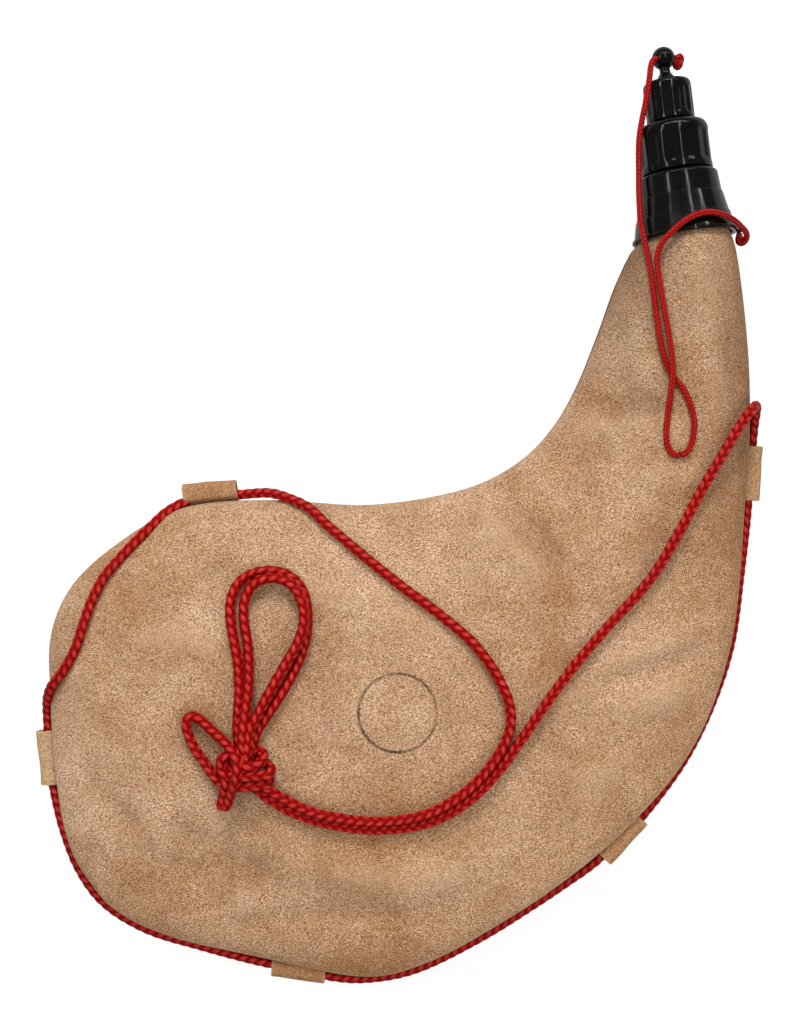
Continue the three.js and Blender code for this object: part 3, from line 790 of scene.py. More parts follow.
@dataclass(frozen=True)
class RedBraid:
    """Satin red yarn, plaited."""

    name: str
    # Colour of the painted shade in the grooves between strands.
    groove_shade: Rgb = (92, 0, 0)
    yarn: Rgb = (164, 0, 0)
    # Colour of the painted highlight on the strands' crowns.
    painted_highlight: Rgb = (242, 96, 86)
    patch: Rgb = (124, 4, 8)
    patchiness: float = 0.25
    roughness: Pair = (0.5, 0.32)
    bump: Pair = (0.5, 0.00025)
    specular: float = 0.14
    fibre_scale: float = 2600.0

    def material(self) -> Material:
        """Builds the yarn, whose strands are stored in the mesh.

        Returns:
            The material.
        """
        material, bench, shader = new_material(self.name)
        crown = bench.layer("crown")
        mottle = bench.group(EFFECTS.mottle, scale=60.0)
        strand = bench.node("ShaderNodeCombineXYZ")
        bench.feed(strand.inputs[0], bench.times(bench.layer("across"), 9.0))
        bench.feed(strand.inputs[1], bench.times(bench.layer("along"), 0.7))
        bench.feed(strand.inputs[2], bench.layer("across"))
        fibres = bench.noise(strand.outputs[0], 1.0, 2.0, 0.6)
        lines = bench.span(fibres, 0.3, 0.7)
        # Painted shade in the grooves between strands, from the crown mark.
        body = bench.mix(bench.span(crown, 0.1, 0.7), linear(self.groove_shade), linear(self.yarn))
        # Painted highlight on the crowns of the strands, broken by fibre lines.
        crest = bench.span(crown, 0.6, 1.0, 0.0, 0.7)
        highlight_share = bench.times(crest, bench.span(lines, 0.2, 1.0, 0.25, 1.0))
        body = bench.mix(highlight_share, body, linear(self.painted_highlight))
        patches = bench.span(mottle.outputs["Patch"], 0.0, 1.0, 0.0, self.patchiness)
        body = bench.mix(patches, body, linear(self.patch))
        rough = bench.span(lines, 0.0, 1.0, *self.roughness)
        fuzz = bench.noise(bench.place(), self.fibre_scale, 1.0, 0.5)
        height = bench.math("ADD", bench.times(lines, 0.7), bench.times(fuzz, 0.4))
        bump = bench.bump(height, *self.bump)
        bench.fill(shader, {"Base Color": body, "Roughness": rough, "Normal": bump})
        bench.fill(shader, {"Specular IOR Level": self.specular})
        return material


@dataclass(frozen=True)
class Latex:
    """Thin natural rubber of the liner."""

    name: str = "liner_latex"
    dull: Rgb = (214, 190, 148)
    pale: Rgb = (230, 210, 172)
    roughness: Pair = (0.45, 0.62)
    bump: Pair = (0.2, 0.0005)

    def material(self) -> Material:
        """Builds the latex.

        Returns:
            The material.
        """
        material, bench, shader = new_material(self.name)
        mottle = bench.group(EFFECTS.mottle, scale=40.0)
        colour = bench.mix(mottle.outputs["Patch"], linear(self.dull), linear(self.pale))
        rough = bench.span(mottle.outputs["Broad"], 0.0, 1.0, *self.roughness)
        bump = bench.bump(mottle.outputs["Patch"], *self.bump)
        bench.fill(shader, {"Base Color": colour, "Roughness": rough, "Normal": bump})
        return material


@dataclass(frozen=True)
class SealRubber:
    """Soft grey rubber of the two washers."""

    name: str = "washer_rubber"
    dull: Rgb = (186, 182, 172)
    pale: Rgb = (206, 202, 192)
    roughness: Pair = (0.6, 0.78)
    bump: Pair = (0.2, 0.0003)

    def material(self) -> Material:
        """Builds the rubber.

        Returns:
            The material.
        """
        material, bench, shader = new_material(self.name)
        scuff = bench.group(EFFECTS.scuff, scale=220.0)
        colour = bench.mix(scuff.outputs["Haze"], linear(self.dull), linear(self.pale))
        rough = bench.span(scuff.outputs["Haze"], 0.0, 1.0, *self.roughness)
        bump = bench.bump(scuff.outputs["Haze"], *self.bump)
        bench.fill(shader, {"Base Color": colour, "Roughness": rough, "Normal": bump})
        return material


@dataclass(frozen=True)
class SewingThread:
    """Waxed linen thread."""

    name: str = "waxed_thread"
    dull: Rgb = (158, 128, 92)
    pale: Rgb = (206, 180, 142)
    roughness: Pair = (0.6, 0.8)
    bump: Pair = (0.4, 0.0002)

    def material(self) -> Material:
        """Builds the thread, with its twist as fine slanted lines.

        Returns:
            The material.
        """
        material, bench, shader = new_material(self.name)
        twist = bench.noise(bench.place((1.0, 1.0, 2.5)), 1500.0, 2.0, 0.6, 0.5)
        lines = bench.span(twist, 0.35, 0.65)
        colour = bench.mix(lines, linear(self.dull), linear(self.pale))
        rough, bump = bench.span(lines, 0.0, 1.0, *self.roughness), bench.bump(lines, *self.bump)
        bench.fill(shader, {"Base Color": colour, "Roughness": rough, "Normal": bump})
        return material


@dataclass(frozen=True)
class FloorWhite:
    """Plain white floor that keeps a soft shadow of what lies on it."""

    name: str = "studio_floor"
    own: float = 0.42
    seen: float = 0.3
    glow: float = 0.8
    mirrored: float = 0.12

    def material(self) -> Material:
        """Builds the floor.

        Returns:
            The material.
        """
        material = bpy.data.materials.new(self.name)
        material.use_nodes = True
        bench = NodeBench(material.node_tree)
        material.node_tree.nodes.remove(material.node_tree.nodes["Principled BSDF"])
        plain, pale = bench.node("ShaderNodeBsdfDiffuse"), bench.node("ShaderNodeBsdfDiffuse")
        plain.inputs["Color"].default_value = (self.own, self.own, self.own, 1.0)
        pale.inputs["Color"].default_value = (self.seen, self.seen, self.seen, 1.0)
        glow, both = bench.node("ShaderNodeEmission"), bench.node("ShaderNodeAddShader")
        mixed = bench.node("ShaderNodeMixShader")
        glow.inputs["Strength"].default_value = self.glow
        bench.feed(both.inputs[0], pale.outputs[0])
        bench.feed(both.inputs[1], glow.outputs[0])
        path = bench.node("ShaderNodeLightPath")
        mirrored = bench.times(path.outputs["Is Glossy Ray"], self.mirrored)
        shown = bench.math("MAXIMUM", path.outputs["Is Camera Ray"], mirrored)
        shown = bench.math("MAXIMUM", shown, path.outputs["Is Transmission Ray"])
        bench.feed(mixed.inputs[0], shown)
        bench.feed(mixed.inputs[1], plain.outputs[0])
        bench.feed(mixed.inputs[2], both.outputs[0])
        bench.feed(material.node_tree.nodes["Material Output"].inputs["Surface"], mixed.outputs[0])
        return material


# Studio


@dataclass
class Studio:
    """Camera straight above, soft light from the top of the picture and a white floor."""

    camera_place: Point = (18.5, 110.1, 800.0)
    camera_roll: float = -6.968
    lens: float = 35.884
    sensor: float = 24.0
    ambient: float = 0.38
    mirrored: float = 0.17
    floor_size: float = 6.0
    floor_drop: float = 0.6

    def build(self) -> None:
        """Sets up the camera, the lights, the world and the floor."""
        self._camera()
        aim, white = (10.0, 40.0, 30.0), (255, 251, 246)
        soft = (
            self._lamp("key_lamp", (60.0, 1900.0, 1450.0), aim, (0.6, 0.6), 32.0, white),
            self._lamp("left_lamp", (-500.0, 250.0, 850.0), aim, (0.3, 0.3), 1.1, white),
            self._lamp("fill_lamp", (420.0, -420.0, 600.0), aim, (0.6, 0.6), 2.6, white),
        )
        for lamp in soft:
            lamp.visible_glossy = False
        self._tube("tube_near", (-900.0, 900.0, 1250.0), (0.03, 1.3), 0.0, 6.0)
        self._tube("tube_far", (516.0, 900.0, 1250.0), (0.014, 1.3), -5.5, 3.6)
        self._tube("edge_bar", (500.0, 1400.0, 1000.0), (2.0, 0.03), 0.0, 9.0).visible_diffuse = False
        self._world()
        self._floor()
        bpy.context.scene.view_settings.view_transform = "Standard"

    def _world(self) -> None:
        """Surrounds the object with dim light that the camera sees as white."""
        world = bpy.data.worlds.new("studio_world")
        world.use_nodes = True
        bench = NodeBench(world.node_tree)
        backdrop = world.node_tree.nodes["Background"]
        backdrop.inputs["Color"].default_value = (1.0, 0.985, 0.96, 1.0)
        path = bench.node("ShaderNodeLightPath")
        shown = bench.math("MAXIMUM", path.outputs["Is Camera Ray"], path.outputs["Is Transmission Ray"])
        dim = bench.span(path.outputs["Is Glossy Ray"], 0.0, 1.0, self.ambient, self.mirrored)
        bench.feed(backdrop.inputs["Strength"], bench.span(shown, 0.0, 1.0, dim, 1.0))
        bpy.context.scene.world = world

    def _camera(self) -> None:
        """Places the camera where the picture was taken from."""
        data = bpy.data.cameras.new("picture_camera")
        data.sensor_fit = "VERTICAL"
        data.sensor_height = self.sensor
        data.lens = self.lens
        data.clip_end = 20.0
        camera = bpy.data.objects.new("picture_camera", data)
        camera.location = Vector(self.camera_place) * MM
        camera.rotation_euler = (0.0, 0.0, math.radians(self.camera_roll))
        bpy.context.scene.collection.objects.link(camera)
        bpy.context.scene.camera = camera

    @staticmethod
    def _lamp(name: str, place: Point, aim: Point, size: Place, watts: float, colour: Rgb) -> Object:
        """Hangs a rectangular lamp.

        Args:
            name: The lamp's name.
            place: Where it hangs, in millimetres.
            aim: What it points at, in millimetres.
            size: Its width and length in metres.
            watts: Its power.
            colour: Its colour.

        Returns:
            The lamp.
        """
        data = bpy.data.lights.new(name, "AREA")
        data.shape = "RECTANGLE"
        data.size, data.size_y = size
        data.energy = watts
        data.color = linear(colour)[:3]
        lamp = bpy.data.objects.new(name, data)
        lamp.location = Vector(place) * MM
        lamp.rotation_euler = (Vector(aim) - Vector(place)).to_track_quat("-Z", "Y").to_euler()
        bpy.context.scene.collection.objects.link(lamp)
        return lamp

    def _tube(self, name: str, place: Point, size: Place, turn: float, watts: float) -> Object:
        """Hangs a thin ceiling tube that faces straight down.

        Args:
            name: The tube's name.
            place: Where it hangs, in millimetres.
            size: Its width and length in metres.
            turn: How far it is turned from the Y axis, in degrees.
            watts: Its power.

        Returns:
            The tube.
        """
        tube = self._lamp(name, place, (place[0], place[1], 0.0), size, watts, (255, 255, 255))
        tube.rotation_euler = (0.0, 0.0, math.radians(turn))
        return tube

    def _floor(self) -> None:
        """Lays the floor just under the skin."""
        MeshBench.clear()
        bpy.ops.mesh.primitive_plane_add(size=self.floor_size, location=(0.0, 0.1, -self.floor_drop * MM))
        floor = bpy.context.object
        floor.name = "floor"
        MeshBench.settle(floor)
        floor.data.materials.append(FloorWhite().material())


# The skin's shape


@dataclass(frozen=True)
class Station:
    """One cross section of the skin: its two edges, the middle of its back and how high it rises."""

    inner: Place
    spine: Place
    outer: Place
    rise: float


def neck_station(rise: float, radius: float) -> Station:
    """Makes a round section of the neck at a height over the collar's rim."""
    y = COLLAR_Y + rise
    return Station((NECK_X - radius, y), (NECK_X, y), (NECK_X + radius, y), radius)


STATIONS: tuple[Station, ...] = (
    Station((-123, 112), (-95, 15), (-154, -64.5), 27),
    Station((-90.5, 125), (-62, 9), (-107, -92.5), 30),
    Station((-45.5, 124), (-25, 6), (-54, -110), 31),
    Station((9, 116.5), (12, 4), (-4, -114.5), 31),
    Station((60, 118.5), (58, 18), (64, -94.5), 30),
    Station((86.5, 129.5), (94, 40), (113.5, -60.5), 29),
    Station((103.5, 144.5), (124, 68), (148, -26), 28.5),
    Station((116.5, 163), (146, 100), (177, 26), 28),
    Station((129, 186.5), (160, 143), (192, 97.5), 27),
    Station((141, 210.5), (171, 185), (200, 154.5), 26),
    Station((147.5, 219.5), (175.5, 210), (202.5, 199), 25.5),
    neck_station(-5.0, 25.2),
    neck_station(-0.3, 23.0),
    neck_station(20.0, 18.8),
)
BELLY_END: tuple[Place, ...] = ((-147, 94), (-160, 72.5), (-165, 45), (-167, 10), (-168, -25), (-164, -45.5))


@dataclass(frozen=True)
class Fold:
    """A soft ridge, or a valley where the height is negative, along a line on the face."""

    start: Place
    end: Place
    width: float
    height: float


FOLDS: tuple[Fold, ...] = (
    Fold((101, 155), (148, 147), 6.0, -1.5),
    Fold((98, 144), (143, 140), 6.0, 1.1),
    Fold((100, 129), (122, 127), 6.0, -0.9),
    Fold((134, 116), (160, 114), 7.0, 0.7),
    Fold((150, 200), (155, 163), 6.0, -0.6),
    Fold((148, 101), (137, 73), 8.0, -0.9),
    Fold((70, 106), (88, 81), 7.0, -1.1),
    Fold((64, 92), (80, 72), 9.0, 0.8),
    Fold((112, 28), (152, 35), 7.0, 1.1),
    Fold((108, 16), (146, 22), 8.0, -0.9),
    Fold((-103, -28), (-68, -52), 9.0, -1.0),
    Fold((-80, -28), (-88, -66), 6.0, -1.1),
    Fold((-70, -40), (-74, -70), 8.0, 0.8),
    Fold((-124, -40), (-40, -68), 10.0, -0.8),
    Fold((-30, -58), (18, -66), 10.0, 0.8),
    Fold((-60, -76), (-10, -82), 9.0, -0.7),
    Fold((129.8, 179.9), (135.5, 155.0), 12.0, -0.7),
    Fold((102.2, 128.5), (113.6, 110.6), 11.0, -0.8),
    Fold((-101.3, -36.7), (-99.7, -63.6), 9.0, -0.7),
    Fold((-55.0, -35.1), (-51.9, -69.4), 8.0, 0.6),
    Fold((94.6, -29.1), (140.2, 11.3), 16.0, 1.0),
    Fold((56.5, 111.3), (80.2, 79.3), 7.0, 1.0),
    Fold((68.0, 118.1), (92.4, 80.2), 5.0, -1.2),
    Fold((-102.7, 109.9), (-57.1, 86.4), 9.0, -0.9),
    Fold((-112.9, 66.5), (-81.8, 62.7), 9.0, 0.8),
    Fold((-132.0, 68.9), (-126.2, 36.6), 8.0, -0.7),
    Fold((132.1, 186.9), (138.1, 152.2), 8.0, -0.9),
    Fold((177.2, 210.5), (179.7, 152.0), 8.0, 0.7),
    Fold((-145.5, -2.2), (-127.9, -24.7), 8.0, -0.8),
    Fold((-79.5, -33.5), (-82.6, -70.5), 5.0, 0.9),
    Fold((-70.1, -31.8), (-73.6, -76.4), 5.0, -1.0),
    Fold((-19.8, 74.5), (40.0, 47.8), 11.0, 0.6),
    Fold((-37.6, 47.6), (-22.0, -2.8), 10.0, -0.6),
    Fold((13.3, -11.9), (46.0, 18.0), 10.0, -0.5),
    Fold((84.8, 18.1), (127.2, 8.1), 10.0, 0.7),
    Fold((36.0, 94.4), (56.6, 65.2), 7.0, -0.6),
    Fold((99.9, -17.7), (130.8, -2.0), 8.0, -0.6),
)


@dataclass
class SkinForm:
    """The shape of the skin, from its sewn edge to its spine."""

    stations: tuple[Station, ...] = STATIONS
    belly_end: tuple[Place, ...] = BELLY_END
    swell_counts: Row = (0, 10, 12.5, 16, 17, 20, 23, 24.6, 25.4, 26.25, 27.1, 28.3, 29.6, 31, 33)
    swell_sizes: Row = (0.8, 0.9, 0.9, 1.2, 3.2, 3.8, 3.6, 3.6, 4.0, 5.2, 4.2, 3.4, 2.0, 0.8, 0)
    ease_counts: Row = (
        0, 1, 2, 3, 4, 5, 6, 7, 8, 9, 9.5, 10, 10.6, 11, 11.5, 12, 13, 14, 15, 16, 17, 18, 19, 19.8, 20.2,
        20.5, 21, 21.6, 22, 22.4, 23, 23.4, 24, 24.4, 24.9, 26, 26.6, 27, 27.6, 28.2, 29, 30, 31, 32, 33,
    )
    ease_sizes: Row = (
        0, 0.8, 2.6, 2.8, 1.6, 2.0, 2.6, 3.2, 3.6, 3.4, 2.2, 0.8, 1.4, 2.8, 2.8, 2.4, 1.8, 2.2, 1.2, -0.6,
        -1.8, -4.6, -5.9, -8.4, -6.2, -3.2, -6.6, -8.0, -5.8, -1.2, -1.8, -6.6, -10.2, -8.6, -6.0, -5.6,
        -6.4, -7.0, -6.6, -4.2, -3.0, -2.8, -3.2, -1.2, 0,
    )
    ease_samples: int = 331
    ease_window: int = 9
    cord_low: Place = (29.0, 44.0)
    cord_high: Place = (36.0, 50.0)
    cord_neck: Place = (222.0, 214.0)
    fold_neck: Place = (225.0, 205.0)
    fold_height: float = 2.8
    fold_width: float = 0.85
    dents: tuple[Point, ...] = ((1.7, 40.0, 3.1), (0.75, 17.0, 7.7), (0.16, 6.5, 1.3))
    _edge: Array = field(init=False)
    _spine: Array = field(init=False)

    def __post_init__(self) -> None:
        """Strings the edge and the spine through the stations."""
        inner = [s.inner for s in reversed(self.stations)]
        self._edge = np.array([*inner, *self.belly_end, *(s.outer for s in self.stations)], float)
        self._spine = np.array([(*s.spine, s.rise) for s in self.stations], float)

    @property
    def spans(self) -> int:
        """How many spans the edge has."""
        return len(self._edge) - 1

    def edge(self, counts: Array) -> tuple[Array, Array]:
        """Finds places on the edge.

        Args:
            counts: Places counted in edge points.

        Returns:
            The places, and the directions out of the skin there.
        """
        small = 1e-3
        low, high = np.clip(counts - small, 0, self.spans), np.clip(counts + small, 0, self.spans)
        run = spline_at(self._edge, high) - spline_at(self._edge, low)
        run /= np.linalg.norm(run, axis=1)[:, None]
        out = np.column_stack([run[:, 1], -run[:, 0]])
        return spline_at(self._edge, counts) + self._ease(counts)[:, None] * out, out

    def _ease(self, counts: Array) -> Array:
        """Finds how far the filled skin draws its edge out or in.

        Args:
            counts: Places counted in edge points.

        Returns:
            The distances, negative where it goes in.
        """
        dense = np.linspace(0, self.spans, self.ease_samples)
        sizes = np.interp(dense, self.ease_counts, self.ease_sizes)
        padded = np.pad(sizes, self.ease_window // 2, mode="edge")
        smooth = np.convolve(padded, np.ones(self.ease_window) / self.ease_window, mode="valid")
        return np.interp(counts, dense, smooth)

    def laid(self, route: Route) -> Array:
        """Lays a cord on the skin: by the edge it moves as the edge does, on the face it follows the folds.

        Args:
            route: The cord's points.

        Returns:
            The moved points.
        """
        points = np.array(route, float)
        counts = np.linspace(0, self.spans, 3301)
        raw = spline_at(self._edge, counts)
        nearest = np.array([np.argmin(((raw - p[:2]) ** 2).sum(axis=1)) for p in points])
        _, out = self.edge(counts[nearest])
        share = (1 - smoothstep(*self.cord_low, points[:, 2])) * smoothstep(*self.cord_neck, points[:, 1])
        points[:, :2] += (self._ease(counts[nearest]) * share)[:, None] * out
        high = smoothstep(*self.cord_high, points[:, 2]) * smoothstep(*self.fold_neck, points[:, 1])
        points[:, 2] += high * self.relief(points[:, 0], points[:, 1])
        return points

    def spine(self, counts: Array) -> Array:
        """Finds the spine across from places on the edge.

        Args:
            counts: Places counted in edge points.

        Returns:
            The places and rises, one row each.
        """
        sides = len(self.stations) - 1
        along = np.maximum(np.maximum(sides - counts, counts - (self.spans - sides)), 0.0)
        return spline_at(self._spine, along)

    def swell(self, counts: Array, height: Array) -> Array:
        """Returns how far the leather stands out past the seam, at heights over it."""
        size = np.interp(counts, self.swell_counts, self.swell_sizes)[:, None]
        return size * smoothstep(0.8, 5.5, height) * (1 - smoothstep(7.0, 22.0, height))

    def relief(self, x: Array, y: Array) -> Array:
        """Finds the height of dents and folds on the face.

        Args:
            x: Places along X.
            y: Places along Y.

        Returns:
            The height at each place.
        """
        total = np.zeros_like(x)
        for fold in FOLDS:
            start, run = np.array(fold.start), np.array(fold.end) - np.array(fold.start)
            t = np.clip(((x - start[0]) * run[0] + (y - start[1]) * run[1]) / run.dot(run), 0, 1)
            apart = (x - start[0] - t * run[0]) ** 2 + (y - start[1] - t * run[1]) ** 2
            total += self.fold_height * fold.height * np.exp(-apart / (self.fold_width * fold.width) ** 2)
        flat = np.column_stack([x.ravel(), y.ravel()])
        dents = [
            sum(high * noise.noise((px / size, py / size, layer)) for high, size, layer in self.dents)
            for px, py in flat
        ]
        return total + np.array(dents).reshape(x.shape)

    def surface(
        self,
        counts: Array,
        rows: Array,
        side: Side,
        inset: float,
        half_gap: float,
        slack: float = 0.0,
    ) -> Array:
        """Finds points of one panel.

        Args:
            counts: Places along the edge, counted in edge points.
            rows: Shares of the way from the seam (0) to the spine (1).
            side: The panel.
            inset: The depth below the leather's outer face.
            half_gap: Half the space between the panels at the seam.
            slack: How much deeper the face hangs, away from the seam.

        Returns:
            Points in millimetres, by place and row.
        """
        edge, out = self.edge(counts)
        spine = self.spine(counts)
        rise = spine[:, 2:] - inset
        start = np.arcsin(half_gap / rise)
        angle = start + (math.pi / 2 - start) * rows[None, :]
        share = (1 - np.cos(angle))[..., None]
        base = (edge - inset * out)[:, None, :]
        plan = base + (spine[:, None, :2] - base) * share
        height = rise * np.sin(angle)
        plan = plan + (self.swell(counts, height)[..., None] * out[:, None, :])
        if side is Side.FRONT:
            ease = smoothstep(0.15, 0.75, height / rise) * smoothstep(*self.fold_neck, plan[..., 1])
            z = SEAM_Z + height + ease * (self.relief(plan[..., 0], plan[..., 1]) - slack)
        else:
            z = np.maximum(SEAM_Z - height, inset)
        return np.concatenate([plan, z[..., None]], axis=2)


# Cords


@dataclass(frozen=True)
class Braid:
    """How a round cord is plaited, in millimetres."""

    diameter: float
    strands: int
    floats: int
    pitch: float
    relief: float
    sides: int
    step: float


STRAP_BRAID = Braid(diameter=5.3, strands=4, floats=2, pitch=19.0, relief=0.55, sides=40, step=0.4)
TETHER_BRAID = Braid(diameter=3.1, strands=6, floats=2, pitch=12.0, relief=0.2, sides=30, step=0.34)


@dataclass(frozen=True)
class Tube:
    """One plaited stretch: its vertices, faces and the marks that the yarn reads."""

    points: Array
    faces: list
    crown: Array
    across: Array
    along: Array
    line: Array


def braided_tube(route: Array, braid: Braid, round_ends: tuple[bool, bool], start: float = 0.0) -> Tube:
    """Plaits a tube along a given route.

    Args:
        route: The route's points in millimetres.
        braid: The plait.
        round_ends: Whether the first and the last end are rounded off.
        start: How far the plait has run before this stretch, in millimetres.

    Returns:
        The tube.
    """
    line = even_line(route, braid.step)
    side, up = carried(line)
    count = len(line)
    run = np.arange(count)[:, None] * line_length(line) / (count - 1)
    around = np.arange(braid.sides)[None, :] / braid.sides
    turns = (run + start) / braid.pitch
    right = braid.strands * (around + turns)
    left = braid.strands * (around - turns)
    order = (np.floor(right) + np.floor(left)) % (2 * braid.floats)
    over = order < braid.floats
    across = np.where(over, right % 1, left % 1)
    length = np.where(over, order + left % 1, order - braid.floats + right % 1) / braid.floats
    crown = np.sqrt(np.clip(1 - (2 * across - 1) ** 2, 0, 1)) * (0.3 + 0.7 * np.sin(np.pi * length))
    radius = braid.diameter / 2 - braid.relief * (1 - crown)
    half, tip = braid.diameter / 2, 0.0004
    for at_end, rounded in ((run, round_ends[0]), (run[-1] - run, round_ends[1])):
        if rounded:
            radius = radius * np.sqrt(np.clip(1 - (1 - np.clip(at_end / half, 0, 1)) ** 2, tip, 1))
    angle = 2 * np.pi * around
    ring = np.cos(angle)[..., None] * side[:, None, :] + np.sin(angle)[..., None] * up[:, None, :]
    body = (line[:, None, :] + radius[..., None] * ring).reshape(-1, 3)
    points = np.vstack([body, line[:1], line[-1:]])
    near = (np.arange(count - 1)[:, None] * braid.sides + np.arange(braid.sides)[None, :]).ravel()
    beside = (np.arange(braid.sides)[None, :] + 1) % braid.sides
    nxt = (np.arange(count - 1)[:, None] * braid.sides + beside).ravel()
    faces = np.column_stack([near, nxt, nxt + braid.sides, near + braid.sides]).tolist()
    first, last, base = len(body), len(body) + 1, (count - 1) * braid.sides
    for k in range(braid.sides):
        n = (k + 1) % braid.sides
        faces.append([first, n, k])
        faces.append([last, base + k, base + n])
    pad, shift = np.full(2, 0.5), 11.0
    along = np.where(over, left, right) + shift * over
    return Tube(
        points,
        faces,
        np.concatenate([crown.ravel(), pad]),
        np.concatenate([across.ravel(), pad]),
        np.concatenate([along.ravel(), pad]),
        line,
    )


def tube_object(name: str, tubes: list[Tube]) -> Object:
    """Makes one object from tubes that belong together.

    Args:
        name: The piece's name.
        tubes: Its stretches.

    Returns:
        The piece with its yarn marks.
    """
    faces, base = [], 0
    for tube in tubes:
        faces += [[i + base for i in face] for face in tube.faces] if base else tube.faces
        base += len(tube.points)
    obj = MeshBench.from_points(name, np.vstack([t.points for t in tubes]), faces)
    MeshBench.mark(obj, "crown", np.concatenate([t.crown for t in tubes]))
    MeshBench.mark(obj, "across", np.concatenate([t.across for t in tubes]))
    MeshBench.mark(obj, "along", np.concatenate([t.along for t in tubes]))
    return obj


@dataclass(frozen=True)
class Run:
    """One stretch of the carrying cord."""

    name: str
    route: Route
    nodes: tuple[str, ...]
    far_end: FarEnd
    round_ends: tuple[bool, bool] = (False, False)
    start: float = 0.0


STRAP_EDGE_ROUTE: Route = (
    (-74.3, 129.6, 27), (-86, 128.2, 28), (-95.5, 124.6, 31), (-104, 119, 35.4),
    (-113, 112.6, 38.4), (-121.5, 105.5, 40.4), (-129, 98.5, 42), (-136, 88, 44),
    (-141.5, 76.5, 45.3), (-147, 65, 45.3), (-155, 54.5, 43.2), (-162, 48, 39.2),
    (-166.2, 42.2, 33.6), (-168.6, 36, 28.6), (-169.8, 28, 27), (-171.6, 12.3, 27), (-172.3, -2, 27),
    (-172.2, -13, 27), (-171.4, -25.3, 27), (-167.6, -46.8, 27), (-157, -67.2, 27),
    (-135.2, -82.7, 27), (-108.6, -96, 27), (-86, -106.4, 27), (-74, -110.4, 27),
    (-60.4, -113.6, 27), (-46.8, -116.6, 27), (-29.5, -118.4, 27), (-3.5, -118.4, 27),
    (31.6, -111, 27), (65.7, -98, 27), (86, -87, 27), (97, -80, 27),
    (107.6, -71.6, 27), (118.2, -63, 27), (134.6, -47, 27), (151, -28.3, 27),
    (167.4, -3.5, 27), (180.8, 24.6, 27), (190, 60.5, 27), (195.4, 87, 27),
    (197.4, 99.5, 27), (199.4, 112.4, 27),
)
STRAP_RIGHT_ROUTE: Route = (
    (199.5, 112.8, 27), (201.5, 126, 27.2), (202.8, 134, 28.6), (202.9, 139.6, 32.4),
    (200.6, 143, 37.8), (196.5, 142, 43.4), (191, 137.5, 48.2), (184.5, 130.5, 51.2),
    (174, 117.5, 54.5), (163.5, 104.5, 56.6), (151.5, 87.5, 57.7), (134, 65.5, 58.3),
    (112, 46.5, 58.9), (93, 29.5, 59.2), (76.5, 12, 59.3), (62.5, -4, 59.2),
    (51.4, -16.1, 59), (35.4, -28.7, 59), (15, -36.8, 59.1), (-9.2, -37.6, 59.2),
    (-28, -33.6, 59.3), (-40, -29.3, 59.4), (-50.9, -23.5, 59.6), (-58.8, -17.5, 60),
    (-63.9, -12.6, 60.8), (-67.5, -8, 62),
)
STRAP_LEFT_ROUTE: Route = (
    (-73.9, 129.6, 27), (-61, 128.2, 27.4), (-52, 128.0, 29), (-44, 127.4, 31),
    (-35, 124.4, 34.4), (-26, 119.8, 38.6), (-16.5, 109.6, 44.4), (-3, 95.3, 49.2),
    (14.5, 77.5, 53.9), (32, 61, 56.9), (46.5, 45, 59), (56, 27.5, 60),
    (59.8, 12.5, 60), (57.6, 1.2, 60.4), (47.4, -13.0, 61), (32.6, -24.6, 61.2),
    (13.9, -32.3, 61.4), (-8.9, -33.3, 61.6), (-26.6, -29.6, 61.7), (-40.5, -24.6, 61.9),
    (-50.1, -18.7, 62.1), (-58, -12.6, 62.5), (-62.5, -8, 62.9), (-66, -3, 63),
)
BOW_OUTER_ROUTE: Route = (
    (-71.7, -3.0, 62), (-71.7, 1.8, 61.5), (-71.4, 11.3, 61), (-71.2, 17.6, 60.6), (-69.6, 27.8, 60.2),
    (-67.9, 37.2, 59.8), (-67.1, 51.5, 59), (-67.8, 61.2, 58), (-68.3, 73.3, 56.2), (-66.8, 81.8, 54.6),
    (-62.8, 88.0, 53.4), (-56.4, 91.3, 52.4), (-49.0, 92.1, 52), (-41.8, 90.4, 52.2), (-36.0, 86.4, 52.8),
    (-32.2, 79.8, 54), (-31.3, 70.1, 55.8), (-32.6, 61.2, 57.6), (-35.5, 52.5, 58.7), (-40.4, 43.7, 59.4),
    (-48.4, 32.6, 60), (-56.4, 23.1, 60.4), (-61.8, 16.5, 60.6), (-64.9, 9.1, 61.2), (-67.2, 0.8, 62),
)
BOW_INNER_ROUTE: Route = (
    (-69.4, -3.0, 64), (-69.4, 2.1, 65), (-69.1, 11.8, 66), (-68.1, 17.9, 65.6), (-65.8, 27.8, 63.2),
    (-63.6, 37.0, 61), (-62.2, 45.8, 59.8), (-61.4, 58.7, 58.6), (-61.9, 71.2, 57.2), (-60.5, 79.6, 56.8),
    (-56.7, 85.4, 56.8), (-51.0, 88.2, 56.8), (-44.7, 88.2, 56.8), (-38.9, 85.6, 57.2), (-34.7, 80.4, 58.4),
    (-32.8, 72.7, 60), (-33.4, 65.2, 61.4), (-37.2, 56.6, 62.4), (-44.8, 46.3, 62.8), (-53.0, 35.3, 62.8),
    (-59.4, 26.0, 63.6), (-65.0, 17.4, 64.6), (-66.9, 10.0, 65.6), (-68.3, 1.5, 65),
)
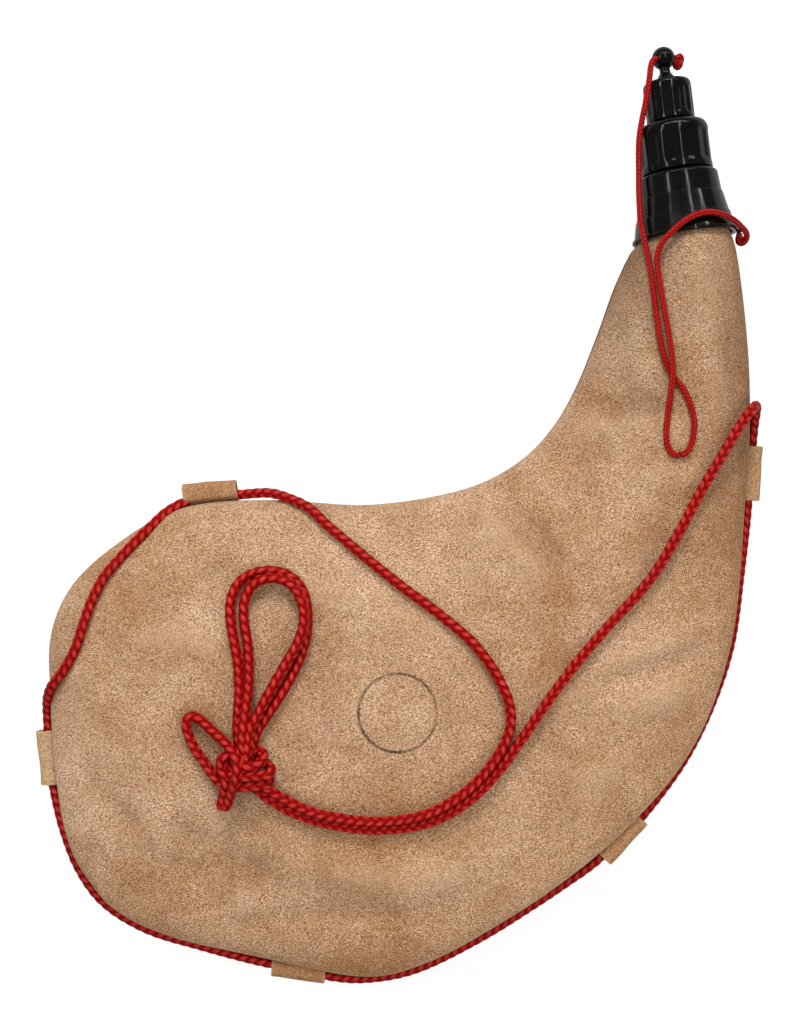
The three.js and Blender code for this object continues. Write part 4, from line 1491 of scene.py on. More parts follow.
SMALL_LOOP_ROUTE: Route = (
    (-74, -8.6, 62), (-78.6, -7.5, 61.3), (-82, -6, 60.2), (-84.6, -3.0, 59.6), (-86.8, 0.8, 59.1),
    (-89, 4.8, 58.7), (-92, 10.0, 58.4), (-94.7, 17.1, 58), (-95.6, 23.2, 57.8), (-94.0, 26.8, 57.8),
    (-90.8, 26.7, 58.2), (-87.4, 24.0, 59), (-84.8, 21.1, 60), (-81.8, 18.0, 61.2), (-78.3, 14.5, 63.2),
    (-75.4, 11.1, 65.8), (-73.2, 8.1, 68.2), (-72.1, 4.4, 70), (-72.4, 0.0, 70), (-73.9, -4.6, 68.6),
    (-76.1, -8.6, 66), (-78.4, -12.7, 62.8), (-80.4, -16.5, 60.6), (-82.0, -19.4, 59.4),
)
KNOT_WRAPS: tuple[Route, ...] = (
    (
        (-65.7, 5.0, 60.5), (-62.4, 7.2, 62), (-60.0, 6.4, 64), (-59.9, 4.2, 66.2), (-62.1, 2.2, 68),
        (-65.7, 1.2, 69), (-69.2, 1.3, 69), (-72.0, 2.7, 67.5), (-74.2, 3.7, 64),
    ),
    (
        (-61.3, 1.5, 60.5), (-58.1, 0.2, 62.5), (-57.1, -2.5, 64.6), (-59.1, -3.7, 66.6), (-63.2, -3.6, 67.8),
        (-67.6, -3.3, 68.2), (-71.8, -3.3, 67.4), (-75.6, -3.0, 65), (-79.0, -2.2, 62),
    ),
    (
        (-61.1, -4.9, 60.5), (-58.5, -6.8, 62), (-59.7, -8.4, 63.8), (-63.3, -8.4, 65.6), (-67.7, -8.2, 66.4),
        (-71.9, -8.2, 65.8), (-75.6, -7.6, 63.6), (-79.3, -6.5, 61),
    ),
    (
        (-72.7, 6.3, 63.5), (-75.2, 7.5, 65), (-78.4, 6.9, 64.6), (-80.5, 4.4, 63.6), (-80.7, 1.1, 63.2),
        (-79.7, -2.2, 63.4), (-79.5, -5.8, 63.2), (-80.7, -9.5, 61.6), (-82.3, -13.8, 59.8),
        (-83.6, -17.6, 59), (-84.2, -19.4, 58.8),
    ),
    ((-74, 4, 62), (-70, 1, 62.5), (-66, -2, 62.5), (-62, -5, 62)),
    ((-78, 7, 61), (-77.4, 4, 62.4), (-77, 0, 62.6), (-76.6, -4, 62)),
)
TETHER_UPPER_ROUTE: Route = (
    (181.4, 322.2, 23.8), (177, 321.7, 27), (172.6, 321.1, 30.3), (170.4, 319.6, 31.9), (169.0, 316.4, 33),
    (167.8, 312, 34.2), (165.9, 305.5, 35.2), (163.8, 298.4, 35.3), (161.2, 290.5, 35), (158.8, 282, 35),
    (157.6, 274, 34.6), (156.5, 265, 35), (155.3, 256.5, 36.2), (154.2, 247, 38.2), (153.5, 240, 40),
    (153.5, 232.5, 43.2), (153.8, 225.5, 44.6), (154, 213.5, 48.6), (153.8, 200, 51.2), (153.8, 183, 53.6),
    (154.4, 173, 54.4), (156.7, 163.7, 54.9), (161.7, 154.2, 55.6), (164.4, 144, 55.6), (164.5, 136.9, 55.5),
    (161.8, 127.8, 55.7), (158.9, 124, 56.1), (155.9, 123.4, 56.3),
)
TETHER_LOWER_ROUTE: Route = (
    (155.7, 123.4, 56.3), (152.6, 124.1, 56.2), (150.8, 127.4, 56), (150.4, 132.5, 55.8), (152.5, 143, 55.8),
    (154.8, 153, 57), (157.2, 163.6, 58.6), (157.9, 173, 57), (157.8, 184, 55.4), (157.4, 200, 52.8),
    (157.2, 212, 51.2), (157.7, 221, 51.8), (160.4, 226.4, 53.2), (164.9, 230.4, 54.3), (170.2, 234.2, 54.8),
    (175.9, 236.9, 54.6), (184.3, 238.4, 53), (192.6, 236.7, 48.8), (198.6, 234, 44.2), (202.6, 231.2, 39.6),
    (205.2, 229.2, 36), (206.2, 227.2, 32.8), (205.7, 225.6, 30.2), (204.2, 225.0, 28.4),
    (203.1, 226.0, 27.4), (203.4, 228.2, 27), (204.4, 230.4, 27),
)


@dataclass
class CarryingCord:
    """The braided strap: along the edge, over the face and tied in a bow."""

    braid: Braid = STRAP_BRAID
    wrap_shift: float = 4.0
    runs: tuple[Run, ...] = (
        Run("strap_edge_braid", STRAP_EDGE_ROUTE, ("strap_edge_cord",), FarEnd.OBJECT),
        Run("strap_right_braid", STRAP_RIGHT_ROUTE, ("strap_right_cord",), FarEnd.KNOT, start=3.0),
        Run("strap_left_braid", STRAP_LEFT_ROUTE, ("strap_left_cord",), FarEnd.KNOT, start=7.0),
        Run("bow_outer_braid", BOW_OUTER_ROUTE, ("strap_bow_outer",), FarEnd.KNOT, start=1.0),
        Run("bow_inner_braid", BOW_INNER_ROUTE, ("strap_bow_inner",), FarEnd.KNOT, start=9.0),
        Run(
            "small_loop_braid",
            SMALL_LOOP_ROUTE,
            ("strap_small_loop", "strap_tail"),
            FarEnd.BARE,
            round_ends=(False, True),
            start=5.0,
        ),
    )

    def build(self, form: SkinForm, finish: RedBraid) -> None:
        """Plaits every stretch and the knot's wraps.

        Args:
            form: The skin that the cord lies on.
            finish: The yarn.
        """
        yarn = finish.material()
        wraps = [
            braided_tube(form.laid(wrap), self.braid, (True, True), self.wrap_shift * i)
            for i, wrap in enumerate(KNOT_WRAPS)
        ]
        knot = tube_object("strap_knot_wraps", wraps)
        place_piece(knot, Body.SKIN, Slot.RED_CORD, yarn, "strap_knot")
        for run in self.runs:
            tube = braided_tube(form.laid(run.route), self.braid, run.round_ends, run.start)
            piece = tube_object(run.name, [tube])
            place_piece(piece, Body.SKIN, Slot.RED_CORD, yarn, *run.nodes)


@dataclass
class Tether:
    """The thin cord that holds the stopper to the collar, with its two stopper knots."""

    form: SkinForm
    braid: Braid = TETHER_BRAID
    ball_knot: Point = (184.2, 320.0, 25.0)
    ball_knot_size: Point = (1.6, 2.0, 1.5)
    eye_knot: Point = (204.2, 227.2, 27.0)
    eye_knot_size: Point = (0.5, 0.5, 0.6)
    lift: float = 16.0
    blend_short: float = 6.0

    def build(self, finish: RedBraid) -> None:
        """Plaits both strands and ties the knots.

        Args:
            finish: The yarn.
        """
        yarn = finish.material()
        ball = self._knot("ball_knot_turns", self.ball_knot, self.ball_knot_size)
        place_piece(ball, Body.STOPPER_CAP, Slot.RED_CORD, yarn, "tether_ball_knot")
        eye = self._knot("eye_knot_turns", self.eye_knot, self.eye_knot_size)
        place_piece(eye, Body.SKIN, Slot.RED_CORD, yarn, "tether_eye_knot")
        self._upper(yarn)
        self._lower(yarn)

    def _upper(self, yarn: Material) -> None:
        """Plaits the strand from the ball down to the bottom of the slack loop.

        Args:
            yarn: Its finish.
        """
        tube = braided_tube(self.form.laid(TETHER_UPPER_ROUTE), self.braid, (False, False))
        piece = tube_object("tether_upper_braid", [tube])
        place_piece(piece, None, Slot.RED_CORD, yarn, "tether_upper_cord")
        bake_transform(piece)

    def _lower(self, yarn: Material) -> None:
        """Plaits the strand from the bottom of the loop back up to the collar's eye.

        Args:
            yarn: Its finish.
        """
        tube = braided_tube(self.form.laid(TETHER_LOWER_ROUTE), self.braid, (False, False))
        piece = tube_object("tether_lower_braid", [tube])
        place_piece(piece, Body.SKIN, Slot.RED_CORD, yarn, "tether_lower_cord")
        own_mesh(piece)

    def _knot(self, name: str, centre: Point, size: Point) -> Object:
        """Ties an overhand knot pulled tight round a centre.

        Args:
            name: The piece's name.
            centre: The knot's middle in millimetres.
            size: How far its turns reach along each axis.

        Returns:
            The knot.
        """
        turn = np.linspace(0, 2 * math.pi, 37)
        wide, tall = np.sin(turn) + 2 * np.sin(2 * turn), np.cos(turn) - 2 * np.cos(2 * turn)
        turns = np.column_stack([wide, tall, -1.2 * np.sin(3 * turn)])
        tube = braided_tube(np.array(centre) + 0.5 * turns * np.array(size), self.braid, (True, True))
        return tube_object(name, [tube])


# The leather


def grid_faces(columns: int, rows: int, flip: bool) -> list:
    """Lists the quads of a grid of points.

    Args:
        columns: How many columns of points.
        rows: How many rows of points.
        flip: Whether the faces point the other way.

    Returns:
        The quads.
    """
    i, j = np.meshgrid(np.arange(columns - 1), np.arange(rows - 1), indexing="ij")
    a = (i * rows + j).ravel()
    quads = np.column_stack([a, a + rows, a + rows + 1, a + 1])
    return (quads[:, ::-1] if flip else quads).tolist()


@dataclass
class Skin:
    """Two suede panels, the liner inside them and the stitches of their seam."""

    form: SkinForm
    leather: float = 1.4
    liner_fit: float = 0.5
    liner_wall: float = 0.7
    liner_slack: float = 1.8
    liner_columns_per_span: int = 9
    liner_rows: int = 38
    half_gap: float = 0.75
    columns_per_span: int = 14
    rows: int = 58
    row_power: float = 1.12
    stitch_length: float = 5.4
    stitch_width: float = 0.9
    stitch_pitch: float = 4.2
    stitch_lean: float = 0.32
    stitch_bow: Place = (0.45, 0.7)
    stitch_sunk: float = 1.0
    bare_ends: float = 2.2
    # Painted highlight along the rolled edge, strongest on the right side.
    edge_highlight_counts: Row = (0.0, 23.5, 25.0, 27.0, 29.5, 31.0, 33.0)
    edge_highlight_shares: Row = (0.1, 0.2, 0.6, 1.0, 1.0, 0.3, 0.0)
    # Browner, darker tone towards the seam, by place along the edge: painted edge shade.
    edge_shade_counts: Row = (0.0, 3.0, 4.5, 18.0, 21.0, 33.0)
    edge_shade_shares: Row = (0.7, 0.7, 0.1, 0.1, 0.9, 0.9)
    # Painted shade low on the neck's sides, by place along the edge.
    painted_shade_counts: Row = (0.0, 3.5, 6.5, 27.2, 28.4, 30.2, 31.5)
    painted_shade_shares: Row = (0.7, 0.6, 0.0, 0.0, 0.4, 0.4, 0.0)
    # Painted highlight on fold ridges, painted shade in valleys and near the collar.
    ridge_highlight: float = 0.4
    valley_shade: float = 0.14
    neck_shade: float = 0.12
    hip_place: Place = (-5.0, -50.0)
    hip_reach: Place = (55.0, 32.0)
    hip_share: float = 0.95

    def build(self, face: Suede, back: Suede, latex: Latex, thread: SewingThread) -> None:
        """Makes every piece of the skin.

        Args:
            face: The suede of the front.
            back: The suede of the back.
            latex: The liner's rubber.
            thread: The sewing thread.
        """
        self._panel("suede_front", Side.FRONT, face, "front_panel")
        self._panel("suede_back", Side.BACK, back, "back_panel")
        self._liner(latex)
        self._stitches(thread)

    def _panel(self, name: str, side: Side, finish: Suede, node: str) -> None:
        """Makes one panel as a shell of the leather's thickness.

        Args:
            name: The piece's name.
            side: Which panel it is.
            finish: Its suede.
            node: The node that it replaces.
        """
        counts = np.linspace(0, self.form.spans, self.form.spans * self.columns_per_span + 1)
        rows = np.linspace(0, 1, self.rows) ** self.row_power
        points = self.form.surface(counts, rows, side, 0.0, self.half_gap)
        marks = self._marks(counts, points, side)
        faces = grid_faces(len(counts), self.rows, side is Side.BACK)
        panel = MeshBench.from_points(name, points.reshape(-1, 3), faces)
        for layer, values in marks.items():
            MeshBench.mark(panel, layer, values)
        MeshBench.weld(panel, 1e-6)
        MeshBench.thicken(panel, self.leather, -1.0)
        MeshBench.apply(panel)
        MeshBench.shade(panel, 60)
        place_piece(panel, Body.SKIN, Slot.SUEDE, finish.material(), node)

    def _marks(self, counts: Array, points: Array, side: Side) -> dict[str, Array]:
        """Marks painted highlight on edge and ridges, painted shade in seam, valleys and neck, and a browner
        tone.

        Args:
            counts: The columns.
            points: The panel's points.
            side: Which panel it is.

        Returns:
            The share of painted highlight, of painted shade and of browner tone at each point.
        """
        height = np.abs(points[..., 2] - SEAM_Z)
        # Painted highlight: a pale band along the rolled edge.
        right = np.interp(counts, self.edge_highlight_counts, self.edge_highlight_shares)[:, None]
        pale_cut_edge_and_highlight = right * smoothstep(2.0, 5.0, height) * (1 - smoothstep(6.0, 9.0, height))
        # Painted shade in the seam, where the panels meet.
        painted_shade = 1 - smoothstep(0.8, 3.2, height)
        if side is Side.FRONT:
            relief = self.form.relief(points[..., 0], points[..., 1]) * smoothstep(12.0, 22.0, height)
            # Painted highlight on fold ridges and painted shade in fold valleys.
            pale_cut_edge_and_highlight = pale_cut_edge_and_highlight + self.ridge_highlight * smoothstep(0.4, 3.0, relief)
            painted_shade = painted_shade + self.valley_shade * smoothstep(0.4, 3.0, -relief)
            # Painted shade on the neck near the collar.
            painted_shade = painted_shade + self.neck_shade * smoothstep(130.0, 225.0, points[..., 1])
        # Browner, darker tone towards the seam: painted edge shade.
        edge = np.interp(counts, self.edge_shade_counts, self.edge_shade_shares)[:, None]
        low = 1 - smoothstep(11.0, 33.0, height)
        # Painted shade low on the neck's sides.
        painted_shade = painted_shade + low * np.interp(counts, self.painted_shade_counts, self.painted_shade_shares)[:, None]
        # A browner patch low on the face.
        off_x = (points[..., 0] - self.hip_place[0]) / self.hip_reach[0]
        off_y = (points[..., 1] - self.hip_place[1]) / self.hip_reach[1]
        hip = self.hip_share * np.exp(-(off_x**2) - off_y**2)
        return {"pale_cut_edge_and_highlight": pale_cut_edge_and_highlight, "painted_shade": painted_shade, "darkening": np.maximum(edge * low, hip)}

    def _liner(self, finish: Latex) -> None:
        """Makes the liner as a closed shell that is open at the neck.

        Args:
            finish: Its latex.
        """
        counts = np.linspace(0, self.form.spans, self.form.spans * self.liner_columns_per_span + 1)
        rows = np.linspace(0, 1, self.liner_rows)
        inset = self.leather + self.liner_fit
        points, faces, base = [], [], 0
        for side in Side:
            points.append(self.form.surface(counts, rows, side, inset, 0.0, self.liner_slack).reshape(-1, 3))
            faces += [[k + base for k in f] for f in grid_faces(len(counts), len(rows), side is Side.BACK)]
            base += len(points[-1])
        liner = MeshBench.from_points("liner_bag", np.vstack(points), faces)
        MeshBench.weld(liner, 1e-6)
        MeshBench.thicken(liner, self.liner_wall, -1.0)
        MeshBench.apply(liner)
        MeshBench.shade(liner, 60)
        place_piece(liner, Body.SKIN, Slot.LATEX, finish.material(), "bladder")

    def _one_stitch(self) -> Object:
        """Models one stitch: a short plump thread.

        Returns:
            The stitch, standing on the Z axis.
        """
        MeshBench.clear()
        bpy.ops.mesh.primitive_uv_sphere_add(segments=6, ring_count=6, radius=0.5 * MM)
        stitch = bpy.context.object
        size = (self.stitch_width, self.stitch_width, self.stitch_length)
        with MeshBench.editing():
            bpy.ops.transform.resize(value=size, center_override=(0, 0, 0))
        return stitch

    def _stitches(self, finish: SewingThread) -> None:
        """Sews the seam with slanted stitches that bow over it, all along the edge.

        Args:
            finish: The thread.
        """
        stitch = self._one_stitch()
        shape = np.array([v.co for v in stitch.data.vertices]) / MM
        faces = [list(p.vertices) for p in stitch.data.polygons]
        bpy.data.objects.remove(stitch)
        dense = np.linspace(0.0, self.form.spans, 6000)
        edge, _ = self.form.edge(dense)
        run = np.concatenate([[0], np.cumsum(np.linalg.norm(np.diff(edge, axis=0), axis=1))])
        low, high = np.interp((self.bare_ends, self.form.spans - self.bare_ends), dense, run)
        counts = np.interp(np.arange(low, high, self.stitch_pitch), run, dense)
        places, out = self.form.edge(counts)
        bow = self.stitch_bow[0] - self.stitch_bow[1] * (shape[:, 2] / (self.stitch_length / 2)) ** 2
        points, all_faces = [], []
        for i, (place, normal) in enumerate(zip(places, out)):
            along = np.array([-normal[1], normal[0]])
            lean = self.stitch_lean * shape[:, 2] + shape[:, 0]
            lift = shape[:, 1] + bow - self.stitch_sunk
            plan = place + along * lean[:, None] + normal * lift[:, None]
            points.append(np.column_stack([plan, SEAM_Z + shape[:, 2]]))
            all_faces += [[k + i * len(shape) for k in f] for f in faces]
        seam = MeshBench.from_points("seam_stitches", np.vstack(points), all_faces)
        MeshBench.take(seam)
        with MeshBench.editing():
            bpy.ops.mesh.normals_make_consistent(inside=False)
        place_piece(seam, Body.SKIN, Slot.SEWING_THREAD, finish.material(), "seam_thread")


@dataclass(frozen=True)
class Seat:
    """Where a strip is sewn into the edge, how much painted shade it gets and how much browner it is."""

    node: str
    count: float
    dark: float
    darkening: float


@dataclass
class EdgeLoops:
    """Five leather strips, each folded round the carrying cord and sewn into the seam."""

    form: SkinForm
    width: float = 27.0
    leather: float = 1.4
    centre: float = 4.7
    bend: float = 3.75
    seats: tuple[Seat, ...] = (
        Seat("loop_top_left", 11.62, dark=0.08, darkening=1.05),
        Seat("loop_left", 16.94, dark=0.0, darkening=0.0),
        Seat("loop_bottom", 21.9, dark=0.1, darkening=1.1),
        Seat("loop_lower_right", 24.92, dark=0.1, darkening=1.1),
        Seat("loop_right", 28.22, dark=0.0, darkening=0.35),
    )

    def build(self, finish: Suede) -> None:
        """Folds a strip at every seat.

        Args:
            finish: The strips' suede.
        """
        suede = finish.material()
        for index, seat in enumerate(self.seats):
            strip = self._strip(f"{seat.node}_strip", index)
            self._raw_edges(strip, seat.dark, seat.darkening)
            place, out = self.form.edge(np.array([seat.count]))
            self._seat(strip, place[0], out[0])
            place_piece(strip, Body.SKIN, Slot.SUEDE, suede, seat.node)

    def _profile(self) -> list[Place]:
        """Draws the strip's middle line: out of the seam, round the cord and back.

        Returns:
            How far out and how high each point is.
        """
        upper = [(-1.6, 0.85), (0.0, 1.0), (0.9, 1.9), (1.8, 2.9), (2.9, 3.5), (4.2, 3.75), (5.4, 3.75)]
        arc = [
            (self.centre + 1.9 + 3.1 * math.sin(a), self.bend * math.cos(a) * (1 - 0.1 * math.sin(a)))
            for a in np.linspace(0.12, math.pi - 0.12, 17)
        ]
        return [*upper, *arc, *[(u, -v) for u, v in reversed(upper)]]

    def _strip(self, name: str, index: int) -> Object:
        """Models a folded strip by extruding its end along the fold.

        Args:
            name: The piece's name.
            index: Which strip it is, so that no two are quite alike.

        Returns:
            The strip, lying on the X axis.
        """
        profile = self._profile()
        MeshBench.clear()
        bpy.ops.mesh.primitive_grid_add(x_subdivisions=1, y_subdivisions=12, size=1.0)
        strip = bpy.context.object
        strip.name = name
        strip.data.name = name
        strip.scale = ((profile[1][0] - profile[0][0]) * MM, self.width * MM, 1.0)
        strip.location = ((profile[0][0] + profile[1][0]) / 2 * MM, 0.0, profile[0][1] * MM)
        MeshBench.settle(strip)
        with MeshBench.editing("DESELECT"):
            bpy.ops.mesh.select_mode(type="VERT")
        end = max(v.co.x for v in strip.data.vertices)
        for vertex in strip.data.vertices:
            vertex.select = abs(vertex.co.x - end) < 1e-7
        bpy.ops.object.mode_set(mode="EDIT")
        for (u0, v0), (u1, v1) in zip(profile[1:], profile[2:]):
            step = {"value": ((u1 - u0) * MM, 0.0, (v1 - v0) * MM)}
            bpy.ops.mesh.extrude_region_move(TRANSFORM_OT_translate=step)
        bpy.ops.object.mode_set(mode="OBJECT")
        self._slacken(strip, index)
        MeshBench.thicken(strip, self.leather, 0.0)
        softened = strip.modifiers.new("softened", "BEVEL")
        softened.width = 0.3 * MM
        softened.segments = 2
        softened.limit_method = "ANGLE"
        softened.angle_limit = math.radians(50)
        MeshBench.apply(strip)
        MeshBench.shade(strip, 45)
        return strip

    def _slacken(self, strip: Object, index: int) -> None:
        """Lets a strip skew and ripple a little, as cut leather does.

        Args:
            strip: The strip, lying on the X axis.
            index: Which strip it is.
        """
        for vertex in strip.data.vertices:
            x, y, _ = vertex.co / MM
            share = max(0.0, (x - 1.0) / 8.0)
            ripple = noise.noise((y / 9 + 5 * index, x / 6, index * 1.7))
            vertex.co.x += (0.35 * share * ripple + 0.02 * y * share * (-1) ** index) * MM
            vertex.co.y += 0.5 * share * noise.noise((x / 5, index * 3.3, math.copysign(4, y))) * MM
            vertex.co.z += 0.25 * share * ripple * MM

    def _raw_edges(self, strip: Object, dark: float, darkening: float) -> None:
        """Marks the cut edges, which are paler, painted shade on the end that goes into the seam, and a
        browner tone.

        Args:
            strip: The strip, lying on the X axis.
            dark: How much painted shade it gets over the others.
            darkening: How much browner it is.
        """
        y = np.array([abs(v.co.y) for v in strip.data.vertices]) / MM
        x = np.array([v.co.x for v in strip.data.vertices]) / MM
        MeshBench.mark(strip, "pale_cut_edge_and_highlight", 0.6 * smoothstep(self.width / 2 - 0.9, self.width / 2, y))
        # Painted shade on the end that goes under the panel into the seam, plus each strip's own painted
        # shade.
        MeshBench.mark(strip, "painted_shade", dark + 0.8 * (1 - smoothstep(0.6, 2.6, x)))
        MeshBench.mark(strip, "darkening", np.full(len(x), darkening))

    def _seat(self, strip: Object, place: Array, out: Array) -> None:
        """Turns a strip to the edge's direction and sets it in the seam.

        Args:
            strip: The strip, lying on the X axis.
            place: Its place on the edge.
            out: The direction out of the skin there.
        """
        turn = Matrix.Rotation(math.atan2(out[1], out[0]), 4, "Z")
        strip.matrix_world = Matrix.Translation((place[0] * MM, place[1] * MM, SEAM_Z * MM)) @ turn
        MeshBench.settle(strip)


# The nozzle and its caps


@dataclass(frozen=True)
class Flutes:
    """Scallops round a cap, with their heights over its open end."""

    count: int
    depth: float
    low: float
    high: float
    ease: float


@dataclass(frozen=True)
class Thread:
    """A right-hand screw ridge, with the height where it begins over the collar's rim."""

    root: float
    crest: float
    start: float
    turns: int = 2
    pitch: float = 4.0
    root_half: float = 1.15
    crest_half: float = 0.5
    sunk: float = 0.5


class Lathe:
    """Turns pieces on the nozzle's axis."""

    segments: int = 120

    @staticmethod
    def rounded(profile: list[Point], closed: bool) -> list[Place]:
        """Rounds the corners of a profile.

        Args:
            profile: Radius, height and corner radius of each point.
            closed: Whether the last point joins the first.

        Returns:
            The radius and height of each ring.
        """
        count = len(profile)
        rings: list[Place] = []
        for i, (radius, height, corner) in enumerate(profile):
            here = Vector((radius, height))
            at_end = not closed and i in (0, count - 1)
            if corner <= 0 or at_end:
                rings.append((radius, height))
                continue
            before = Vector(profile[i - 1][:2]) - here
            after = Vector(profile[(i + 1) % count][:2]) - here
            reach = min(corner, 0.49 * before.length, 0.49 * after.length)
            start, end = here + before.normalized() * reach, here + after.normalized() * reach
            steps = 3 if corner < 1.0 else 8
            for k in range(steps + 1):
                t = k / steps
                at = start * (1 - t) ** 2 + here * 2 * t * (1 - t) + end * t**2
                rings.append((at.x, at.y))
        return rings

    @staticmethod
    def filled(rings: list[Place], low: float, high: float, step: float) -> list[Place]:
        """Adds rings along a straight wall, so that it can be fluted.

        Args:
            rings: The radius and height of each ring.
            low: Where the wall begins.
            high: Where it ends.
            step: The distance between two rings.

        Returns:
            All the rings.
        """
        full: list[Place] = []
        for here, after in zip(rings, [*rings[1:], rings[-1]]):
            full.append(here)
            wide, tall = abs(after[0] - here[0]), abs(after[1] - here[1])
            in_wall = low - 0.1 <= min(here[1], after[1]) <= high
            if in_wall and tall > 2 * step and wide < 0.1 * tall:
                count = int(tall / step)
                full += [
                    (here[0] + (after[0] - here[0]) * k / count, here[1] + (after[1] - here[1]) * k / count)
                    for k in range(1, count)
                ]
        return full

    @classmethod
    def turn(cls, name: str, rings: list[Place], closed: bool, segments: int = 0) -> Object:
        """Builds a turned piece: a circle that is extruded and scaled from ring to ring.

        Args:
            name: The piece's name.
            rings: Radius and height over the collar's rim of each ring, in millimetres.
            closed: Whether the last ring joins the first; otherwise both ends close at the axis.
            segments: How many sides it has, or 0 for the usual number.

        Returns:
            The piece with its faces pointing outwards.
        """
        least = 0.02
        rings = [(max(r, least), y) for r, y in rings]
        chain = [*rings, rings[0]] if closed else rings
        MeshBench.clear()
        bpy.ops.mesh.primitive_circle_add(
            vertices=segments or cls.segments,
            radius=chain[0][0] * MM,
            location=cls.at(chain[0][1]),
            rotation=(math.pi / 2, 0.0, 0.0),
        )
        piece = bpy.context.object
        piece.name = name
        piece.data.name = name
        MeshBench.settle(piece)
        with MeshBench.editing():
            bpy.ops.mesh.select_mode(type="VERT")
            if not closed:
                bpy.ops.mesh.edge_face_add()
            for (r0, y0), (r1, y1) in zip(chain, chain[1:]):
                step = {"value": (0.0, (y1 - y0) * MM, 0.0)}
                bpy.ops.mesh.extrude_region_move(TRANSFORM_OT_translate=step)
                if abs(r1 - r0) > 1e-9:
                    bpy.ops.transform.resize(value=(r1 / r0, 1.0, r1 / r0), center_override=cls.at(y1))
        MeshBench.weld(piece, 1e-6, outward=True)
        return piece

    @staticmethod
    def at(height: float) -> Point:
        """Returns the axis point at a height over the collar's rim, in metres."""
        return (NECK_X * MM, (COLLAR_Y + height) * MM, SEAM_Z * MM)

    @staticmethod
    def flute(piece: Object, radius: float, foot: float, flutes: Flutes) -> None:
        """Presses scallops into a cap's wall.

        Args:
            piece: The cap.
            radius: The wall's radius.
            foot: The height of its open end over the collar's rim.
            flutes: The scallops.
        """
        axis = np.array(Lathe.at(0.0)) / MM
        points = np.array([v.co for v in piece.data.vertices]) / MM - axis
        far = np.hypot(points[:, 0], points[:, 2])
        angle = np.arctan2(points[:, 0], points[:, 2])
        off = (angle * flutes.count / (2 * math.pi)) % 1.0 - 0.5
        depth = flutes.depth * (0.5 + 0.5 * np.cos(2 * math.pi * off))
        height = points[:, 1] - foot
        ends = smoothstep(flutes.low - flutes.ease, flutes.low + flutes.ease, height)
        ends *= 1 - smoothstep(flutes.high - flutes.ease, flutes.high + flutes.ease, height)
        outer = smoothstep(radius - 2.2, radius - 1.2, far)
        share = 1 - depth * ends * outer / np.maximum(far, 1e-6)
        points[:, 0] *= share
        points[:, 2] *= share
        piece.data.vertices.foreach_set("co", ((points + axis) * MM).astype(np.float32).ravel())
        piece.data.update()

    @staticmethod
    def ridge(name: str, thread: Thread) -> Object:
        """Cuts a screw ridge: one section swept round the axis by the Screw modifier.

        Args:
            name: The piece's name.
            thread: The ridge.

        Returns:
            The ridge as a closed solid.
        """
        root, foot = thread.root, thread.root - thread.sunk
        wide, thin = thread.root_half, thread.crest_half
        section = ((foot, -wide), (thread.crest, -thin), (thread.crest, thin), (foot, wide))
        MeshBench.clear()
        bpy.ops.mesh.primitive_circle_add(vertices=4, radius=MM, fill_type="NOTHING")
        ridge = bpy.context.object
        ridge.name = name
        for vertex, (radius, height) in zip(ridge.data.vertices, section):
            vertex.co = (0.0, height * MM, radius * MM)
        screw = ridge.modifiers.new("thread", "SCREW")
        screw.axis = "Y"
        screw.screw_offset = thread.pitch * MM
        screw.iterations = thread.turns
        screw.steps = screw.render_steps = 60
        MeshBench.apply(ridge)
        with MeshBench.editing():
            bpy.ops.mesh.remove_doubles(threshold=1e-7)
            bpy.ops.mesh.fill_holes(sides=4)
            bpy.ops.mesh.select_all(action="SELECT")
            bpy.ops.mesh.normals_make_consistent(inside=False)
        low = min(v.co.y for v in ridge.data.vertices)
        tall = thread.turns * thread.pitch + 2 * wide
        for vertex in ridge.data.vertices:
            far = math.hypot(vertex.co.x, vertex.co.z) / MM
            run = min(vertex.co.y - low, low + tall * MM - vertex.co.y) / MM
            fade = min(1.0, 0.15 + max(0.0, run - 0.9))
            if far > root:
                scale = (root + (far - root) * fade) / far
                vertex.co.x *= scale
                vertex.co.z *= scale
        ridge.location = Lathe.at(thread.start)
        MeshBench.settle(ridge)
        return ridge


